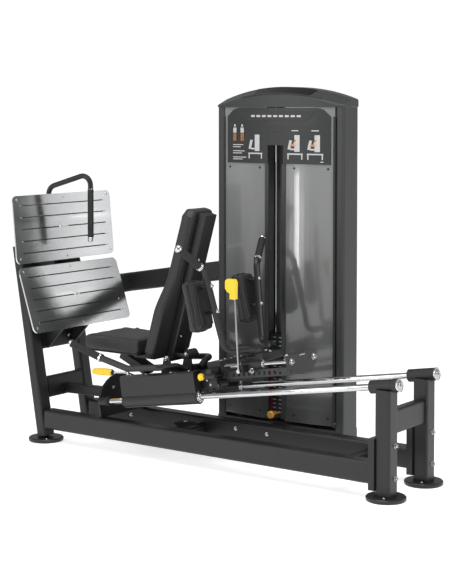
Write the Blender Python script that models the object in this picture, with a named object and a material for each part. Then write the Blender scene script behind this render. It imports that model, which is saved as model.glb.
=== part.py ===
"""Leg press and hack squat machine with a weight-stack tower.

Metres, +Z up. The slide rods run along X, the tower stands on the +Y side, and the foot plates
are at the -X end. Design positions are measured from the rod posts (X = 0, Y = 0 on the machine's
long axis), and the whole machine is then shifted so that its footprint is centred on the origin.
"""
import math

import bmesh
import bpy
from mathutils import Matrix, Vector

# Driving dimensions
SHIFT_X = 1.07315
SHIFT_Y = -0.1125
FIT_GAP = 0.0003
RAMP_ANGLE = math.radians(9.0)
ROD_HEIGHT = 0.508
HALF_GAUGE = 0.174
GUIDE_ROD_RADIUS = 0.015
GUIDE_ROD_LEFT = -1.632
END_PLATE_ALONG = -1.680
END_PLATE_THICKNESS = 0.012

FOOT_RADIUS = 0.091
FOOT_THICKNESS = 0.020
RAIL_WIDTH = 0.076
RAIL_BOTTOM = 0.068
RAIL_TOP = 0.168
RAIL_RIGHT_END = -0.0645
POST_SIZE = 0.076

COLUMN_BASE_X = -2.045
COLUMN_LEAN = 0.175
COLUMN_DEPTH = 0.060
COLUMN_WIDTH = 0.080
COLUMN_TOP = 1.010

PLATE_WIDTH = 0.760
PLATE_THICKNESS = 0.008
UPPER_PLATE_TOP = Vector((-2.068, 0.0, 1.285))
UPPER_PLATE_FOOT = Vector((-2.035, 0.0, 0.937))
LOWER_PLATE_TOP = Vector((-2.026, 0.0, 0.917))
LOWER_PLATE_FOOT = Vector((-1.916, 0.0, 0.594))
SLOT_COUNT = 5
SLOT_LENGTH = 0.660
SLOT_HEIGHT = 0.006
SLOT_BRIDGE = 0.044

CARRIAGE_LEFT = -1.508
CARRIAGE_RIGHT = -1.043
DECK_BOTTOM = 0.085
DECK_TOP = 0.097
BEARING_TOP = 0.124
BACKREST_PIVOT = Vector((-1.300, 0.0, 0.487))
BACKREST_FOOT = Vector((-1.407, 0.0, 0.490))
BACKREST_HEAD = Vector((-1.191, 0.0, 1.250))
SEAT_PIVOT = Vector((-1.425, 0.0, 0.503))

RELEASE_PIVOT = Vector((-0.812, -0.1580, 0.4860))

SLIDE_ROD_RADIUS = 0.010
SLIDE_ROD_HEIGHT = 0.128
SLIDE_ROD_GAUGE = 0.096
SLIDE_LEFT = -0.930
SLIDE_RIGHT = -0.552
LOCK_PIN_START = -0.937
LOCK_PIN_ACROSS = -0.185
LOCK_PIN_HEIGHT = 0.093

TOWER_X = -0.978
TOWER_FRONT = 0.430
TOWER_BACK = 0.570
TOWER_HALF_WIDTH = 0.386
TOWER_BULGE = 0.035
TOWER_SIDE_WIDTH = 0.050
TOWER_BASE_TOP = 0.120
TOWER_SHOULDER = 1.740
TOWER_CROWN = 1.842
CAP_SLOPE_RISE = 0.036
CAP_SLOPE_DEPTH = 0.080
STACK_ROD_OFFSET = 0.068
WEIGHT_PITCH = 0.0215
WEIGHT_BOTTOM = 0.1355
RESTING_WEIGHTS = 1
LIFTED_WEIGHTS = 19
STACK_DEPTH = Vector((0.460, 0.550))

BLACK_PAINT = ("frame_paint", (0.030, 0.031, 0.033), 0.42, 0.35)
GREY_PAINT = ("tower_paint", (0.075, 0.078, 0.080), 0.45, 0.30)
CHROME = ("chrome", (0.80, 0.80, 0.82), 0.12, 1.0)
PLATE_STEEL = ("foot_plate_steel", (0.45, 0.46, 0.46), 0.22, 1.0)
VINYL = ("upholstery", (0.018, 0.018, 0.019), 0.55, 0.0)
RUBBER = ("rubber", (0.020, 0.020, 0.021), 0.80, 0.0)
SMOKED = ("smoked_sheet", (0.090, 0.095, 0.100), 0.15, 0.0)
PRINTED = ("instruction_print", (0.050, 0.052, 0.055), 0.45, 0.0)
YELLOW = ("yellow_plastic", (0.90, 0.70, 0.02), 0.40, 0.0)
CAST_IRON = ("stack_iron", (0.035, 0.036, 0.038), 0.60, 0.4)

RAMP = Matrix.Translation((0.0, 0.0, ROD_HEIGHT)) @ Matrix.Rotation(-RAMP_ANGLE, 4, "Y")
SIDES = (("near", -1.0), ("far", 1.0))


def clear_scene():
    for item in list(bpy.data.objects):
        bpy.data.objects.remove(item, do_unlink=True)


def material(finish):
    name, colour, roughness, metallic = finish
    found = bpy.data.materials.get(name)
    if found:
        return found
    made = bpy.data.materials.new(name)
    made.use_nodes = True
    shader = made.node_tree.nodes["Principled BSDF"]
    shader.inputs["Base Color"].default_value = (*colour, 1.0)
    shader.inputs["Roughness"].default_value = roughness
    shader.inputs["Metallic"].default_value = metallic
    made.diffuse_color = (*colour, 1.0)
    return made


def pivot(name, place, parent=None):
    """An empty on a joint's axis, which carries the pieces that turn or slide there."""
    empty = bpy.data.objects.new(name, None)
    bpy.context.collection.objects.link(empty)
    empty.location = Vector(place)
    if parent:
        empty.parent = parent
        empty.location = Vector(place) - DESIGN_PLACE[parent.name]
    DESIGN_PLACE[name] = Vector(place)
    return empty


def link(name, data, finish, owner):
    item = bpy.data.objects.new(name, data)
    bpy.context.collection.objects.link(item)
    item.data.materials.append(material(finish))
    item.parent = owner
    return item


def face_outwards(bm):
    bmesh.ops.recalc_face_normals(bm, faces=bm.faces)
    if bm.calc_volume(signed=True) < 0.0:
        bmesh.ops.reverse_faces(bm, faces=bm.faces)


def solid(name, bm, finish, owner, sharp=35.0):
    """Turn a bmesh in design coordinates into an object carried by its owner."""
    bm.transform(Matrix.Translation(-DESIGN_PLACE[owner.name]))
    face_outwards(bm)
    mesh = bpy.data.meshes.new(name)
    bm.to_mesh(mesh)
    bm.free()
    mesh.shade_smooth()
    mesh.set_sharp_from_angle(angle=math.radians(sharp))
    return link(name, mesh, finish, owner)


def aim(start, end):
    """Matrix at the middle of a line, local X along it and local Z as near to up as it goes."""
    start, end = Vector(start), Vector(end)
    along = (end - start).normalized()
    up = Vector((0.0, 0.0, 1.0))
    if abs(along.z) > 0.9:
        up = Vector((-1.0, 0.0, 0.0))
    side = up.cross(along).normalized()
    top = along.cross(side)
    turn = Matrix((along, side, top)).transposed().to_4x4()
    return Matrix.Translation((start + end) / 2.0) @ turn


def box_mesh(size, place, round_edges=0.0, segments=3, all_edges=False):
    """A box of size X, Y, Z whose edges along X, or all its edges, are rounded."""
    bm = bmesh.new()
    bmesh.ops.create_cube(bm, size=1.0)
    bmesh.ops.scale(bm, vec=size, verts=bm.verts)
    if round_edges > 0.0:
        picked = [e for e in bm.edges
                  if all_edges or abs((e.verts[0].co - e.verts[1].co).x) > 1e-6]
        bmesh.ops.bevel(bm, geom=picked, offset=round_edges, segments=segments,
                        affect="EDGES", profile=0.5, material=-1)
    bm.transform(place)
    return bm


def bar(name, start, end, width, height, finish, owner, round_edges=0.006):
    """A straight tube of rectangular section; width is across, height is the upper way."""
    length = (Vector(end) - Vector(start)).length
    bm = box_mesh((length, width, height), aim(start, end), round_edges)
    return solid(name, bm, finish, owner)


def rod_mesh(start, end, radius, sides=24):
    bm = bmesh.new()
    length = (Vector(end) - Vector(start)).length
    bmesh.ops.create_cone(bm, cap_ends=True, segments=sides, radius1=radius, radius2=radius,
                          depth=length)
    bm.transform(aim(start, end) @ Matrix.Rotation(math.radians(90.0), 4, "Y"))
    return bm


def rod(name, start, end, radius, finish, owner, sides=24):
    return solid(name, rod_mesh(start, end, radius, sides), finish, owner)


def turned(name, profile, place, finish, owner, sides=32):
    """A closed turned shape; profile is (radius, height) pairs from bottom to top, about Z."""
    bm = bmesh.new()
    points = [bm.verts.new((radius, 0.0, height)) for radius, height in profile]
    edges = [bm.edges.new(pair) for pair in zip(points, points[1:])]
    bmesh.ops.spin(bm, geom=points + edges, axis=(0, 0, 1), cent=(0, 0, 0), steps=sides,
                   angle=math.tau, use_merge=True)
    bmesh.ops.remove_doubles(bm, verts=bm.verts, dist=1e-6)
    bm.transform(place)
    return solid(name, bm, finish, owner)


def rounded_path(points, bend, steps=6):
    """The points of a bent tube's centre line, each corner turned into an arc."""
    points = [Vector(p) for p in points]
    path = [points[0]]
    for before, corner, after in zip(points, points[1:], points[2:]):
        back, ahead = (before - corner).normalized(), (after - corner).normalized()
        half = back.angle(ahead) / 2.0
        reach = bend / math.tan(half)
        reach = min(reach, 0.45 * (before - corner).length, 0.45 * (after - corner).length)
        radius = reach * math.tan(half)
        centre = corner + (back + ahead).normalized() * (radius / math.sin(half))
        arm_in = corner + back * reach - centre
        arm_out = corner + ahead * reach - centre
        total = arm_in.angle(arm_out)
        axis = arm_in.cross(arm_out).normalized()
        for step in range(steps + 1):
            turn = Matrix.Rotation(total * step / steps, 3, axis)
            path.append(centre + turn @ arm_in)
    path.append(points[-1])
    return path


def bent_tube(name, points, radius, bend, finish, owner):
    curve = bpy.data.curves.new(name, "CURVE")
    curve.dimensions = "3D"
    path = rounded_path(points, bend)
    spline = curve.splines.new("POLY")
    spline.points.add(len(path) - 1)
    for knot, place in zip(spline.points, path):
        knot.co = (*(place - DESIGN_PLACE[owner.name]), 1.0)
    curve.bevel_depth = radius
    curve.bevel_resolution = 3
    curve.use_fill_caps = True
    spline.use_smooth = True
    return link(name, curve, finish, owner)


def sheet_mesh(outline, thickness, place):
    """A flat outline in local X and Y, extruded along local Z, half to each side."""
    bm = bmesh.new()
    verts = [bm.verts.new((x, y, -thickness / 2.0)) for x, y in outline]
    face = bm.faces.new(verts)
    grown = bmesh.ops.extrude_face_region(bm, geom=[face])
    moved = [item for item in grown["geom"] if isinstance(item, bmesh.types.BMVert)]
    bmesh.ops.translate(bm, vec=(0.0, 0.0, thickness), verts=moved)
    bm.transform(place)
    return bm


def rounded_outline(width, height, radius, steps=5):
    outline = []
    corners = ((1, 1, 0), (-1, 1, 90), (-1, -1, 180), (1, -1, 270))
    for sign_x, sign_y, first in corners:
        centre_x = sign_x * (width / 2.0 - radius)
        centre_y = sign_y * (height / 2.0 - radius)
        for step in range(steps + 1):
            angle = math.radians(first + 90.0 * step / steps)
            outline.append((centre_x + radius * math.cos(angle),
                            centre_y + radius * math.sin(angle)))
    return outline


def cut(item, bm, name):
    """Take a hidden cutter, given in design coordinates, out of an object."""
    combine(item, bm, name, "DIFFERENCE")


def combine(item, bm, name, operation):
    owner = item.parent
    bm.transform(Matrix.Translation(-DESIGN_PLACE[owner.name]))
    face_outwards(bm)
    mesh = bpy.data.meshes.new(name)
    bm.to_mesh(mesh)
    bm.free()
    tool = bpy.data.objects.new(name, mesh)
    bpy.context.collection.objects.link(tool)
    tool.parent = owner
    tool.hide_render = True
    tool.display_type = "WIRE"
    modifier = item.modifiers.new(name, "BOOLEAN")
    modifier.operation = operation
    modifier.object = tool
    modifier.solver = "EXACT"


def ramp_point(along, across, height):
    """A point from its distance along the guide rods, across them, and above their axes."""
    return RAMP @ Vector((along, across, height))


def column_x(height):
    return COLUMN_BASE_X - COLUMN_LEAN * (height - 0.08)


def tower_y(x, back=False, inset=0.0):
    """Y of the tower's bowed front or back at a distance x from its middle."""
    bow = TOWER_BULGE * (1.0 - (x / TOWER_HALF_WIDTH) ** 2)
    if back:
        return TOWER_BACK + bow - inset
    return TOWER_FRONT - bow + inset


def bowed_sheet(name, left, right, outline_top, bottom, thickness, inset, finish, owner,
                back=False, steps=10):
    """A sheet that follows the tower's bow from left to right, up to outline_top(x)."""
    bm = bmesh.new()
    rings = []
    for step in range(steps + 1):
        x = left + (right - left) * step / steps
        outer = tower_y(x, back, inset)
        inner = tower_y(x, back, inset + thickness)
        top = outline_top(x)
        corners = ((outer, bottom), (inner, bottom), (inner, top), (outer, top))
        rings.append([bm.verts.new((TOWER_X + x, y, z)) for y, z in corners])
    for ring, following in zip(rings, rings[1:]):
        for corner in range(4):
            after = (corner + 1) % 4
            bm.faces.new((ring[corner], ring[after], following[after], following[corner]))
    bm.faces.new(rings[0])
    bm.faces.new(reversed(rings[-1]))
    return solid(name, bm, finish, owner)


def build_base(owner):
    for side, sign in SIDES:
        y = sign * HALF_GAUGE
        rail_middle = (RAIL_BOTTOM + RAIL_TOP) / 2.0
        left = column_x(rail_middle) + 0.040
        bar(side + "_base_rail", (left, y, rail_middle), (RAIL_RIGHT_END, y, rail_middle),
            RAIL_WIDTH, RAIL_TOP - RAIL_BOTTOM, BLACK_PAINT, owner, 0.012)
        for end, x in (("right", 0.0), ("left", column_x(0.02))):
            profile = ((0.0, 0.0), (FOOT_RADIUS - 0.004, 0.0), (FOOT_RADIUS, 0.004),
                       (FOOT_RADIUS, FOOT_THICKNESS - 0.004),
                       (FOOT_RADIUS - 0.004, FOOT_THICKNESS), (0.0, FOOT_THICKNESS))
            turned(f"{side}_{end}_foot", profile, Matrix.Translation((x, y, 0.0)), BLACK_PAINT,
                   owner)
    inner = HALF_GAUGE - RAIL_WIDTH / 2.0 - FIT_GAP
    for name, x in (("middle_base_cross_tube", -1.250), ("right_base_cross_tube", -0.270)):
        bar(name, (x, -inner, 0.105), (x, inner, 0.105), 0.050, 0.050, BLACK_PAINT, owner)
    post_inner = HALF_GAUGE - POST_SIZE / 2.0 - FIT_GAP
    bar("post_cross_tube", (0.0, -post_inner, 0.345), (0.0, post_inner, 0.345), 0.050, 0.110,
        BLACK_PAINT, owner, 0.010)


def build_floor_link(owner):
    """Short tube from the far rail to the tower's base."""
    start = HALF_GAUGE + RAIL_WIDTH / 2.0 + FIT_GAP
    end = TOWER_FRONT + 0.001 - FIT_GAP
    bar("tower_floor_link", (TOWER_X, start, 0.090), (TOWER_X, end, 0.090), 0.080, 0.044,
        BLACK_PAINT, owner)


def build_rod_posts(owner):
    """Posts, each welded to a rail flange and to a round clamp for a guide rod's high end."""
    for side, sign in SIDES:
        y = sign * HALF_GAUGE
        post = bar(side + "_rod_post", (0.0, y, FOOT_THICKNESS + FIT_GAP),
                   (0.0, y, ROD_HEIGHT - 0.015), POST_SIZE, POST_SIZE, BLACK_PAINT, owner, 0.010)
        flange = box_mesh((0.030, 0.100, 0.232), Matrix.Translation((-0.0490, y, 0.160)), 0.004)
        combine(post, flange, side + "_rail_flange", "UNION")
        clamp = rod_mesh(ramp_point(-0.078, y, 0.0), ramp_point(0.062, y, 0.0), 0.030, 32)
        combine(post, clamp, side + "_rod_clamp", "UNION")
        bore = rod_mesh(ramp_point(-0.080, y, 0.0), ramp_point(0.050, y, 0.0),
                        GUIDE_ROD_RADIUS + FIT_GAP)
        cut(post, bore, side + "_clamp_bore")
        rod(side + "_guide_rod", ramp_point(GUIDE_ROD_LEFT, y, 0.0), ramp_point(0.0496, y, 0.0),
            GUIDE_ROD_RADIUS, CHROME, owner)


def build_foot_end(owner):
    for side, sign in SIDES:
        y = sign * HALF_GAUGE
        low, high = FOOT_THICKNESS + 0.007, COLUMN_TOP
        bar(side + "_column", (column_x(low), y, low), (column_x(high), y, high),
            COLUMN_WIDTH, COLUMN_DEPTH, BLACK_PAINT, owner, 0.014)
    inner = HALF_GAUGE - COLUMN_WIDTH / 2.0 - FIT_GAP
    lean = Matrix.Rotation(-math.atan(COLUMN_LEAN), 4, "Y")
    quarter = Matrix.Rotation(math.radians(90.0), 4, "Z")
    for name, height in (("lower_column_tie", 0.268), ("middle_column_tie", 0.520),
                         ("upper_column_tie", 0.930)):
        place = Matrix.Translation((column_x(height), 0.0, height)) @ lean @ quarter
        size = (2.0 * inner, 0.056, 0.110)
        tie = solid(name, box_mesh(size, place, 0.010), BLACK_PAINT, owner)
        if name == "lower_column_tie":
            start = Vector((column_x(height), 0.0, 0.250))
            end = ramp_point(END_PLATE_ALONG - 0.0135, 0.0, 0.016)
            spine = box_mesh(((end - start).length, 0.050, 0.050), aim(start, end), 0.006)
            combine(tie, spine, "spine_tube", "UNION")
    build_rod_end_plate(owner)


def build_rod_end_plate(owner):
    """Arched plate across the rails, with a boss for each guide rod's low end."""
    outline = [(0.190, -0.120), (0.190, -0.030)]
    for step in range(1, 16):
        angle = math.pi * step / 16
        outline.append((0.190 * math.cos(angle), -0.030 + 0.155 * math.sin(angle)))
    outline += [(-0.190, -0.030), (-0.190, -0.120)]
    upright = Matrix(((0, 0, 1), (1, 0, 0), (0, 1, 0))).to_4x4()
    place = RAMP @ Matrix.Translation((END_PLATE_ALONG, 0.0, 0.0)) @ upright
    plate = solid("rod_end_plate", sheet_mesh(outline, END_PLATE_THICKNESS, place), BLACK_PAINT,
                  owner)
    clip = box_mesh((0.4, 0.6, 0.1), Matrix.Translation((-1.68, 0.0, RAIL_TOP + FIT_GAP - 0.05)))
    cut(plate, clip, "rod_end_plate_foot")
    for side, sign in SIDES:
        y = sign * HALF_GAUGE
        boss = rod_mesh(ramp_point(END_PLATE_ALONG, y, 0.0),
                        ramp_point(GUIDE_ROD_LEFT - FIT_GAP, y, 0.0), 0.022)
        combine(plate, boss, side + "_rod_boss", "UNION")


def plate_normal(top, foot):
    """Unit normal of a foot plate, out of the face that the feet press on."""
    up = (top - foot).normalized()
    return Vector((up.z, 0.0, -up.x))


def build_foot_plates(owner):
    for name, top, foot in (("upper_foot_plate", UPPER_PLATE_TOP, UPPER_PLATE_FOOT),
                            ("lower_foot_plate", LOWER_PLATE_TOP, LOWER_PLATE_FOOT)):
        up = (top - foot).normalized()
        out = plate_normal(top, foot)
        across = Vector((0.0, 1.0, 0.0))
        turn = Matrix((across, up, out)).transposed().to_4x4()
        middle = (top + foot) / 2.0 - out * (PLATE_THICKNESS / 2.0)
        place = Matrix.Translation(middle) @ turn
        height = (top - foot).length
        outline = rounded_outline(PLATE_WIDTH, height, 0.030)
        plate = solid(name, sheet_mesh(outline, PLATE_THICKNESS, place), PLATE_STEEL, owner)
        for index in range(SLOT_COUNT):
            offset = height * (0.85 - 0.175 * index) - height / 2.0
            half = (SLOT_LENGTH - SLOT_BRIDGE) / 2.0
            lengths = ((SLOT_LENGTH, 0.0),)
            if index == SLOT_COUNT // 2:
                middle = (half + SLOT_BRIDGE) / 2.0
                lengths = ((half, -middle), (half, middle))
            for part, (length, across) in enumerate(lengths):
                slot = rounded_outline(length, SLOT_HEIGHT, SLOT_HEIGHT * 0.49, 2)
                raised = place @ Matrix.Translation((across, offset, 0.0))
                cut(plate, sheet_mesh(slot, 3.0 * PLATE_THICKNESS, raised),
                    f"{name}_slot_{index}_{part}")


def build_plate_brackets(owner):
    """Two upright webs that carry both foot plates in front of the column ties."""
    web = []
    for top, foot, low, high in ((LOWER_PLATE_TOP, LOWER_PLATE_FOOT, 0.10, 0.97),
                                 (UPPER_PLATE_TOP, UPPER_PLATE_FOOT, 0.0, 0.80)):
        back = -plate_normal(top, foot) * (PLATE_THICKNESS + FIT_GAP)
        web.append(foot + (top - foot) * low + back)
        web.append(foot + (top - foot) * high + back)
    front_of_ties = 0.0290 / math.cos(math.atan(COLUMN_LEAN)) + FIT_GAP
    for height in (0.980, 0.470):
        web.append(Vector((column_x(height) + front_of_ties, 0.0, height)))
    for side, sign in SIDES:
        outline = [(point.x, point.z) for point in web]
        turn = Matrix.Rotation(math.radians(90.0), 4, "X")
        place = Matrix.Translation((0.0, sign * 0.100, 0.0)) @ turn
        solid(side + "_plate_bracket", sheet_mesh(outline, 0.010, place), BLACK_PAINT, owner)


def build_plate_handle(owner):
    points = ((-1.890, 0.020, 1.055), (-1.890, 0.020, 1.395), (-2.165, 0.000, 1.312),
              (-2.186, 0.000, 0.994))
    bent_tube("foot_plate_handle", points, 0.014, 0.050, BLACK_PAINT, owner)


def build_link_beam(owner):
    """Bent beam from the far column, round behind the foot plates, to the tower's side."""
    points = ((-2.150, HALF_GAUGE + COLUMN_WIDTH / 2.0 + 0.0048, 0.735), (-2.100, 0.510, 0.755),
              (TOWER_X - TOWER_HALF_WIDTH - 0.0012, 0.530, 0.876))
    path = rounded_path(points, 0.120, 8)
    section = rounded_outline(0.050, 0.105, 0.012, 3)
    bm = bmesh.new()
    rings = []
    for index, place in enumerate(path):
        along = path[min(index + 1, len(path) - 1)] - path[max(index - 1, 0)]
        side = Vector((-along.y, along.x, 0.0)).normalized()
        rings.append([bm.verts.new(place + side * across + Vector((0.0, 0.0, height)))
                      for across, height in section])
    count = len(section)
    for ring, following in zip(rings, rings[1:]):
        for corner in range(count):
            after = (corner + 1) % count
            bm.faces.new((ring[corner], ring[after], following[after], following[corner]))
    bm.faces.new(rings[0])
    bm.faces.new(rings[-1])
    solid("tower_link_beam", bm, BLACK_PAINT, owner)


def build_carriage(owner):
    for side, sign in SIDES:
        y = sign * HALF_GAUGE
        outline = [(-0.031, BEARING_TOP - 0.008), (-0.031, 0.022)]
        for step in range(17):
            angle = math.radians(144.0 + 252.0 * step / 16)
            outline.append((0.037 * math.cos(angle), 0.037 * math.sin(angle)))
        outline += [(0.031, 0.022), (0.031, BEARING_TOP - 0.008), (0.023, BEARING_TOP),
                    (-0.023, BEARING_TOP)]
        length = CARRIAGE_RIGHT - CARRIAGE_LEFT
        middle = (CARRIAGE_RIGHT + CARRIAGE_LEFT) / 2.0
        upright = Matrix(((0, 0, 1), (1, 0, 0), (0, 1, 0))).to_4x4()
        place = RAMP @ Matrix.Translation((middle, y, 0.0)) @ upright
        housing = solid(side + "_bearing_housing", sheet_mesh(outline, length, place),
                        BLACK_PAINT, owner)
        bore = rod_mesh(ramp_point(CARRIAGE_LEFT - 0.02, y, 0.0),
                        ramp_point(CARRIAGE_RIGHT + 0.02, y, 0.0), GUIDE_ROD_RADIUS + 0.0008)
        cut(housing, bore, side + "_housing_bore")
    half = HALF_GAUGE - 0.031 - FIT_GAP
    deck = box_mesh((SLIDE_LEFT - CARRIAGE_LEFT - 0.012, 2.0 * half, DECK_TOP - DECK_BOTTOM),
                    RAMP @ Matrix.Translation(((SLIDE_LEFT + CARRIAGE_LEFT) / 2.0, 0.0,
                                               (DECK_TOP + DECK_BOTTOM) / 2.0)))
    deck = solid("carriage_deck", deck, BLACK_PAINT, owner)
    add_hinge_ears(deck)


def add_hinge_ears(deck):
    """Two ears welded on the deck, which hold the backrest's pivot pin."""
    for side, sign in SIDES:
        middle = BACKREST_PIVOT
        deck_z = [ramp_point((middle.x + d) / math.cos(RAMP_ANGLE), 0.0, DECK_TOP).z
                  for d in (-0.040, 0.032)]
        outline = [(middle.x - 0.040, deck_z[0] - 0.003), (middle.x + 0.032, deck_z[1] - 0.003)]
        for step in range(9):
            angle = math.radians(180.0 * step / 8)
            outline.append((middle.x + 0.020 * math.cos(angle),
                            middle.z + 0.020 * math.sin(angle)))
        turn = Matrix.Rotation(math.radians(90.0), 4, "X")
        place = Matrix.Translation((0.0, sign * 0.085, 0.0)) @ turn
        combine(deck, sheet_mesh(outline, 0.008, place), side + "_hinge_ear", "UNION")
    hole = rod_mesh(middle + Vector((0, -0.2, 0)), middle + Vector((0, 0.2, 0)), 0.0083)
    cut(deck, hole, "ear_holes")


def build_side_handles(owner):
    for side, sign in SIDES:
        points = ((-1.205, sign * 0.060, 0.4350), (-1.212, sign * 0.120, 0.4660),
                  (-1.250, sign * 0.205, 0.4660), (-1.434, sign * 0.230, 0.4450),
                  (-1.594, sign * 0.240, 0.4830), (-1.779, sign * 0.260, 0.5440))
        bent_tube(side + "_side_handle", points, 0.0165, 0.045, BLACK_PAINT, owner)


def build_seat(carriage, seat):
    bar("seat_support", ramp_point(-1.480, 0.0, DECK_TOP + 0.0295), (-1.640, 0.0, 0.4720),
        0.080, 0.045, BLACK_PAINT, carriage)
    pad = box_mesh((0.365, 0.340, 0.078), Matrix.Translation((-1.6005, 0.0, 0.5415)),
                   0.016, 3, True)
    solid("seat_pad", pad, VINYL, seat)


def build_seat_lever(lever):
    stem = rod_mesh((-1.610, -0.152, 0.3975), (-1.512, -0.130, 0.402), 0.005, 12)
    grip = ((0.0, 0.0), (0.013, 0.0), (0.0180, 0.006), (0.0190, 0.060), (0.0160, 0.120),
            (0.0090, 0.130), (0.0, 0.130))
    place = Matrix.Translation((-1.6004, -0.150, 0.398)) @ Matrix.Rotation(
        math.radians(-93.0), 4, "Y")
    combine(turned("seat_lever", grip, place, YELLOW, lever, 20), stem, "seat_lever_stem", "UNION")


def backrest_place():
    """Matrix at the foot of the backrest's front face; X out of the face, Z up along it."""
    up = (BACKREST_HEAD - BACKREST_FOOT).normalized()
    out = Vector((-up.z, 0.0, up.x))
    across = up.cross(out)
    turn = Matrix((out, across, up)).transposed().to_4x4()
    return Matrix.Translation(BACKREST_FOOT) @ turn


def build_backrest(owner):
    place = backrest_place()
    length = (BACKREST_HEAD - BACKREST_FOOT).length
    half = [(0.162, 0.030), (0.162, 0.240), (0.111, 0.445), (0.106, length - 0.035)]
    outline = [(0.132, 0.0)] + half + [(0.076, length)]
    outline += [(-x, z) for x, z in reversed(outline)]
    face_back = place @ Matrix(((0, 0, 1, -0.0325), (1, 0, 0, 0), (0, 1, 0, 0), (0, 0, 0, 1)))
    pad = sheet_mesh(outline, 0.065, face_back)
    rim = [e for e in pad.edges if len(e.link_faces) == 2 and e.calc_face_angle() > 1.4]
    bmesh.ops.bevel(pad, geom=rim, offset=0.012, segments=2, affect="EDGES", profile=0.5,
                    material=-1)
    solid("backrest_pad", pad, VINYL, owner)
    frame_middle = Vector((-0.0655 - 0.0225, 0.0, 0.3955))
    frame = box_mesh((0.760, 0.100, 0.045), place @ Matrix.Translation(frame_middle)
                     @ Matrix.Rotation(math.radians(-90.0), 4, "Y"), 0.008)
    frame = solid("backrest_frame", frame, BLACK_PAINT, owner)
    barrel = rod_mesh(BACKREST_PIVOT + Vector((0, -0.080, 0)),
                      BACKREST_PIVOT + Vector((0, 0.080, 0)), 0.016)
    combine(frame, barrel, "backrest_pivot_barrel", "UNION")
    hole = rod_mesh(BACKREST_PIVOT + Vector((0, -0.2, 0)), BACKREST_PIVOT + Vector((0, 0.2, 0)),
                    0.0083)
    cut(frame, hole, "barrel_hole")


def build_pivot_pin(owner):
    pin = rod_mesh(BACKREST_PIVOT + Vector((0, -0.100, 0)), BACKREST_PIVOT + Vector((0, 0.100, 0)),
                   0.008)
    solid("backrest_pivot_pin", pin, CHROME, owner)


def build_pad_slide(owner):
    """Block, two short chrome rods and an end plate, on which the shoulder pads slide."""
    block = box_mesh((0.078, 0.240, 0.058), RAMP @ Matrix.Translation(
        (SLIDE_LEFT - 0.045, 0.0, DECK_TOP + FIT_GAP + 0.029)), 0.006)
    block = solid("slide_block", block, BLACK_PAINT, owner)
    lug = box_mesh((0.030, 0.076, 0.030), RAMP @ Matrix.Translation((-0.960, -0.152, 0.114)),
                   0.004)
    combine(block, lug, "lock_pin_lug", "UNION")
    pin = Vector((LOCK_PIN_START, LOCK_PIN_ACROSS, LOCK_PIN_HEIGHT))
    housing = rod_mesh(ramp_point(pin.x - 0.048, pin.y, pin.z),
                       ramp_point(pin.x + 0.012, pin.y, pin.z), 0.013, 20)
    combine(block, housing, "lock_pin_housing", "UNION")
    bore = rod_mesh(ramp_point(pin.x - 0.058, pin.y, pin.z),
                    ramp_point(pin.x + 0.005, pin.y, pin.z), 0.0048, 12)
    cut(block, bore, "lock_housing_bore")
    for side, sign in SIDES:
        y = sign * SLIDE_ROD_GAUGE
        rod(side + "_slide_rod", ramp_point(SLIDE_LEFT - 0.0057, y, SLIDE_ROD_HEIGHT),
            ramp_point(SLIDE_RIGHT - FIT_GAP, y, SLIDE_ROD_HEIGHT), SLIDE_ROD_RADIUS, CHROME,
            owner)
    outline = [(0.126, 0.030), (-0.126, 0.030)]
    for step in range(9):
        angle = math.radians(180.0 + 180.0 * step / 8)
        outline.append((0.126 * math.cos(angle), 0.070 * math.sin(angle)))
    upright = Matrix(((0, 0, 1), (1, 0, 0), (0, 1, 0))).to_4x4()
    place = RAMP @ Matrix.Translation((SLIDE_RIGHT + 0.005, 0.0, SLIDE_ROD_HEIGHT)) @ upright
    index_strip = solid("slide_end_plate", sheet_mesh(outline, 0.010, place), GREY_PAINT, owner)
    strip_left, strip_right = SLIDE_LEFT + FIT_GAP, SLIDE_RIGHT + 0.005
    strip = box_mesh((strip_right - strip_left, 0.006, 0.038), RAMP @ Matrix.Translation(
        ((strip_left + strip_right) / 2.0, -SLIDE_ROD_GAUGE, 0.084)))
    combine(index_strip, strip, "index_strip", "UNION")
    for hole in range(10):
        along = SLIDE_LEFT + 0.050 + 0.030 * hole
        window = box_mesh((0.012, 0.030, 0.018),
                          RAMP @ Matrix.Translation((along, -SLIDE_ROD_GAUGE, 0.084)))
        cut(index_strip, window, f"index_window_{hole}")


def build_pad_carrier(owner):
    left, right = -0.818, -0.700
    bridge = box_mesh((0.080, 0.190, 0.030), RAMP @ Matrix.Translation(
        ((left + right) / 2.0, 0.0, 0.150)), 0.006)
    carrier = solid("pad_carrier", bridge, BLACK_PAINT, owner)
    for side, sign in SIDES:
        y = sign * SLIDE_ROD_GAUGE
        low, high = ramp_point(left, y, SLIDE_ROD_HEIGHT), ramp_point(right, y, SLIDE_ROD_HEIGHT)
        combine(carrier, rod_mesh(low, high, 0.021), side + "_sleeve", "UNION")
    lug = box_mesh((0.028, 0.050, 0.034), Matrix.Translation(
        (RELEASE_PIVOT.x + 0.004, RELEASE_PIVOT.y + 0.0298, RELEASE_PIVOT.z + 0.010)))
    combine(carrier, lug, "lever_lug", "UNION")
    for side, sign in SIDES:
        y = sign * SLIDE_ROD_GAUGE
        low = ramp_point(left - 0.02, y, SLIDE_ROD_HEIGHT)
        high = ramp_point(right + 0.02, y, SLIDE_ROD_HEIGHT)
        cut(carrier, rod_mesh(low, high, SLIDE_ROD_RADIUS + 0.0008), side + "_sleeve_bore")


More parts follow.
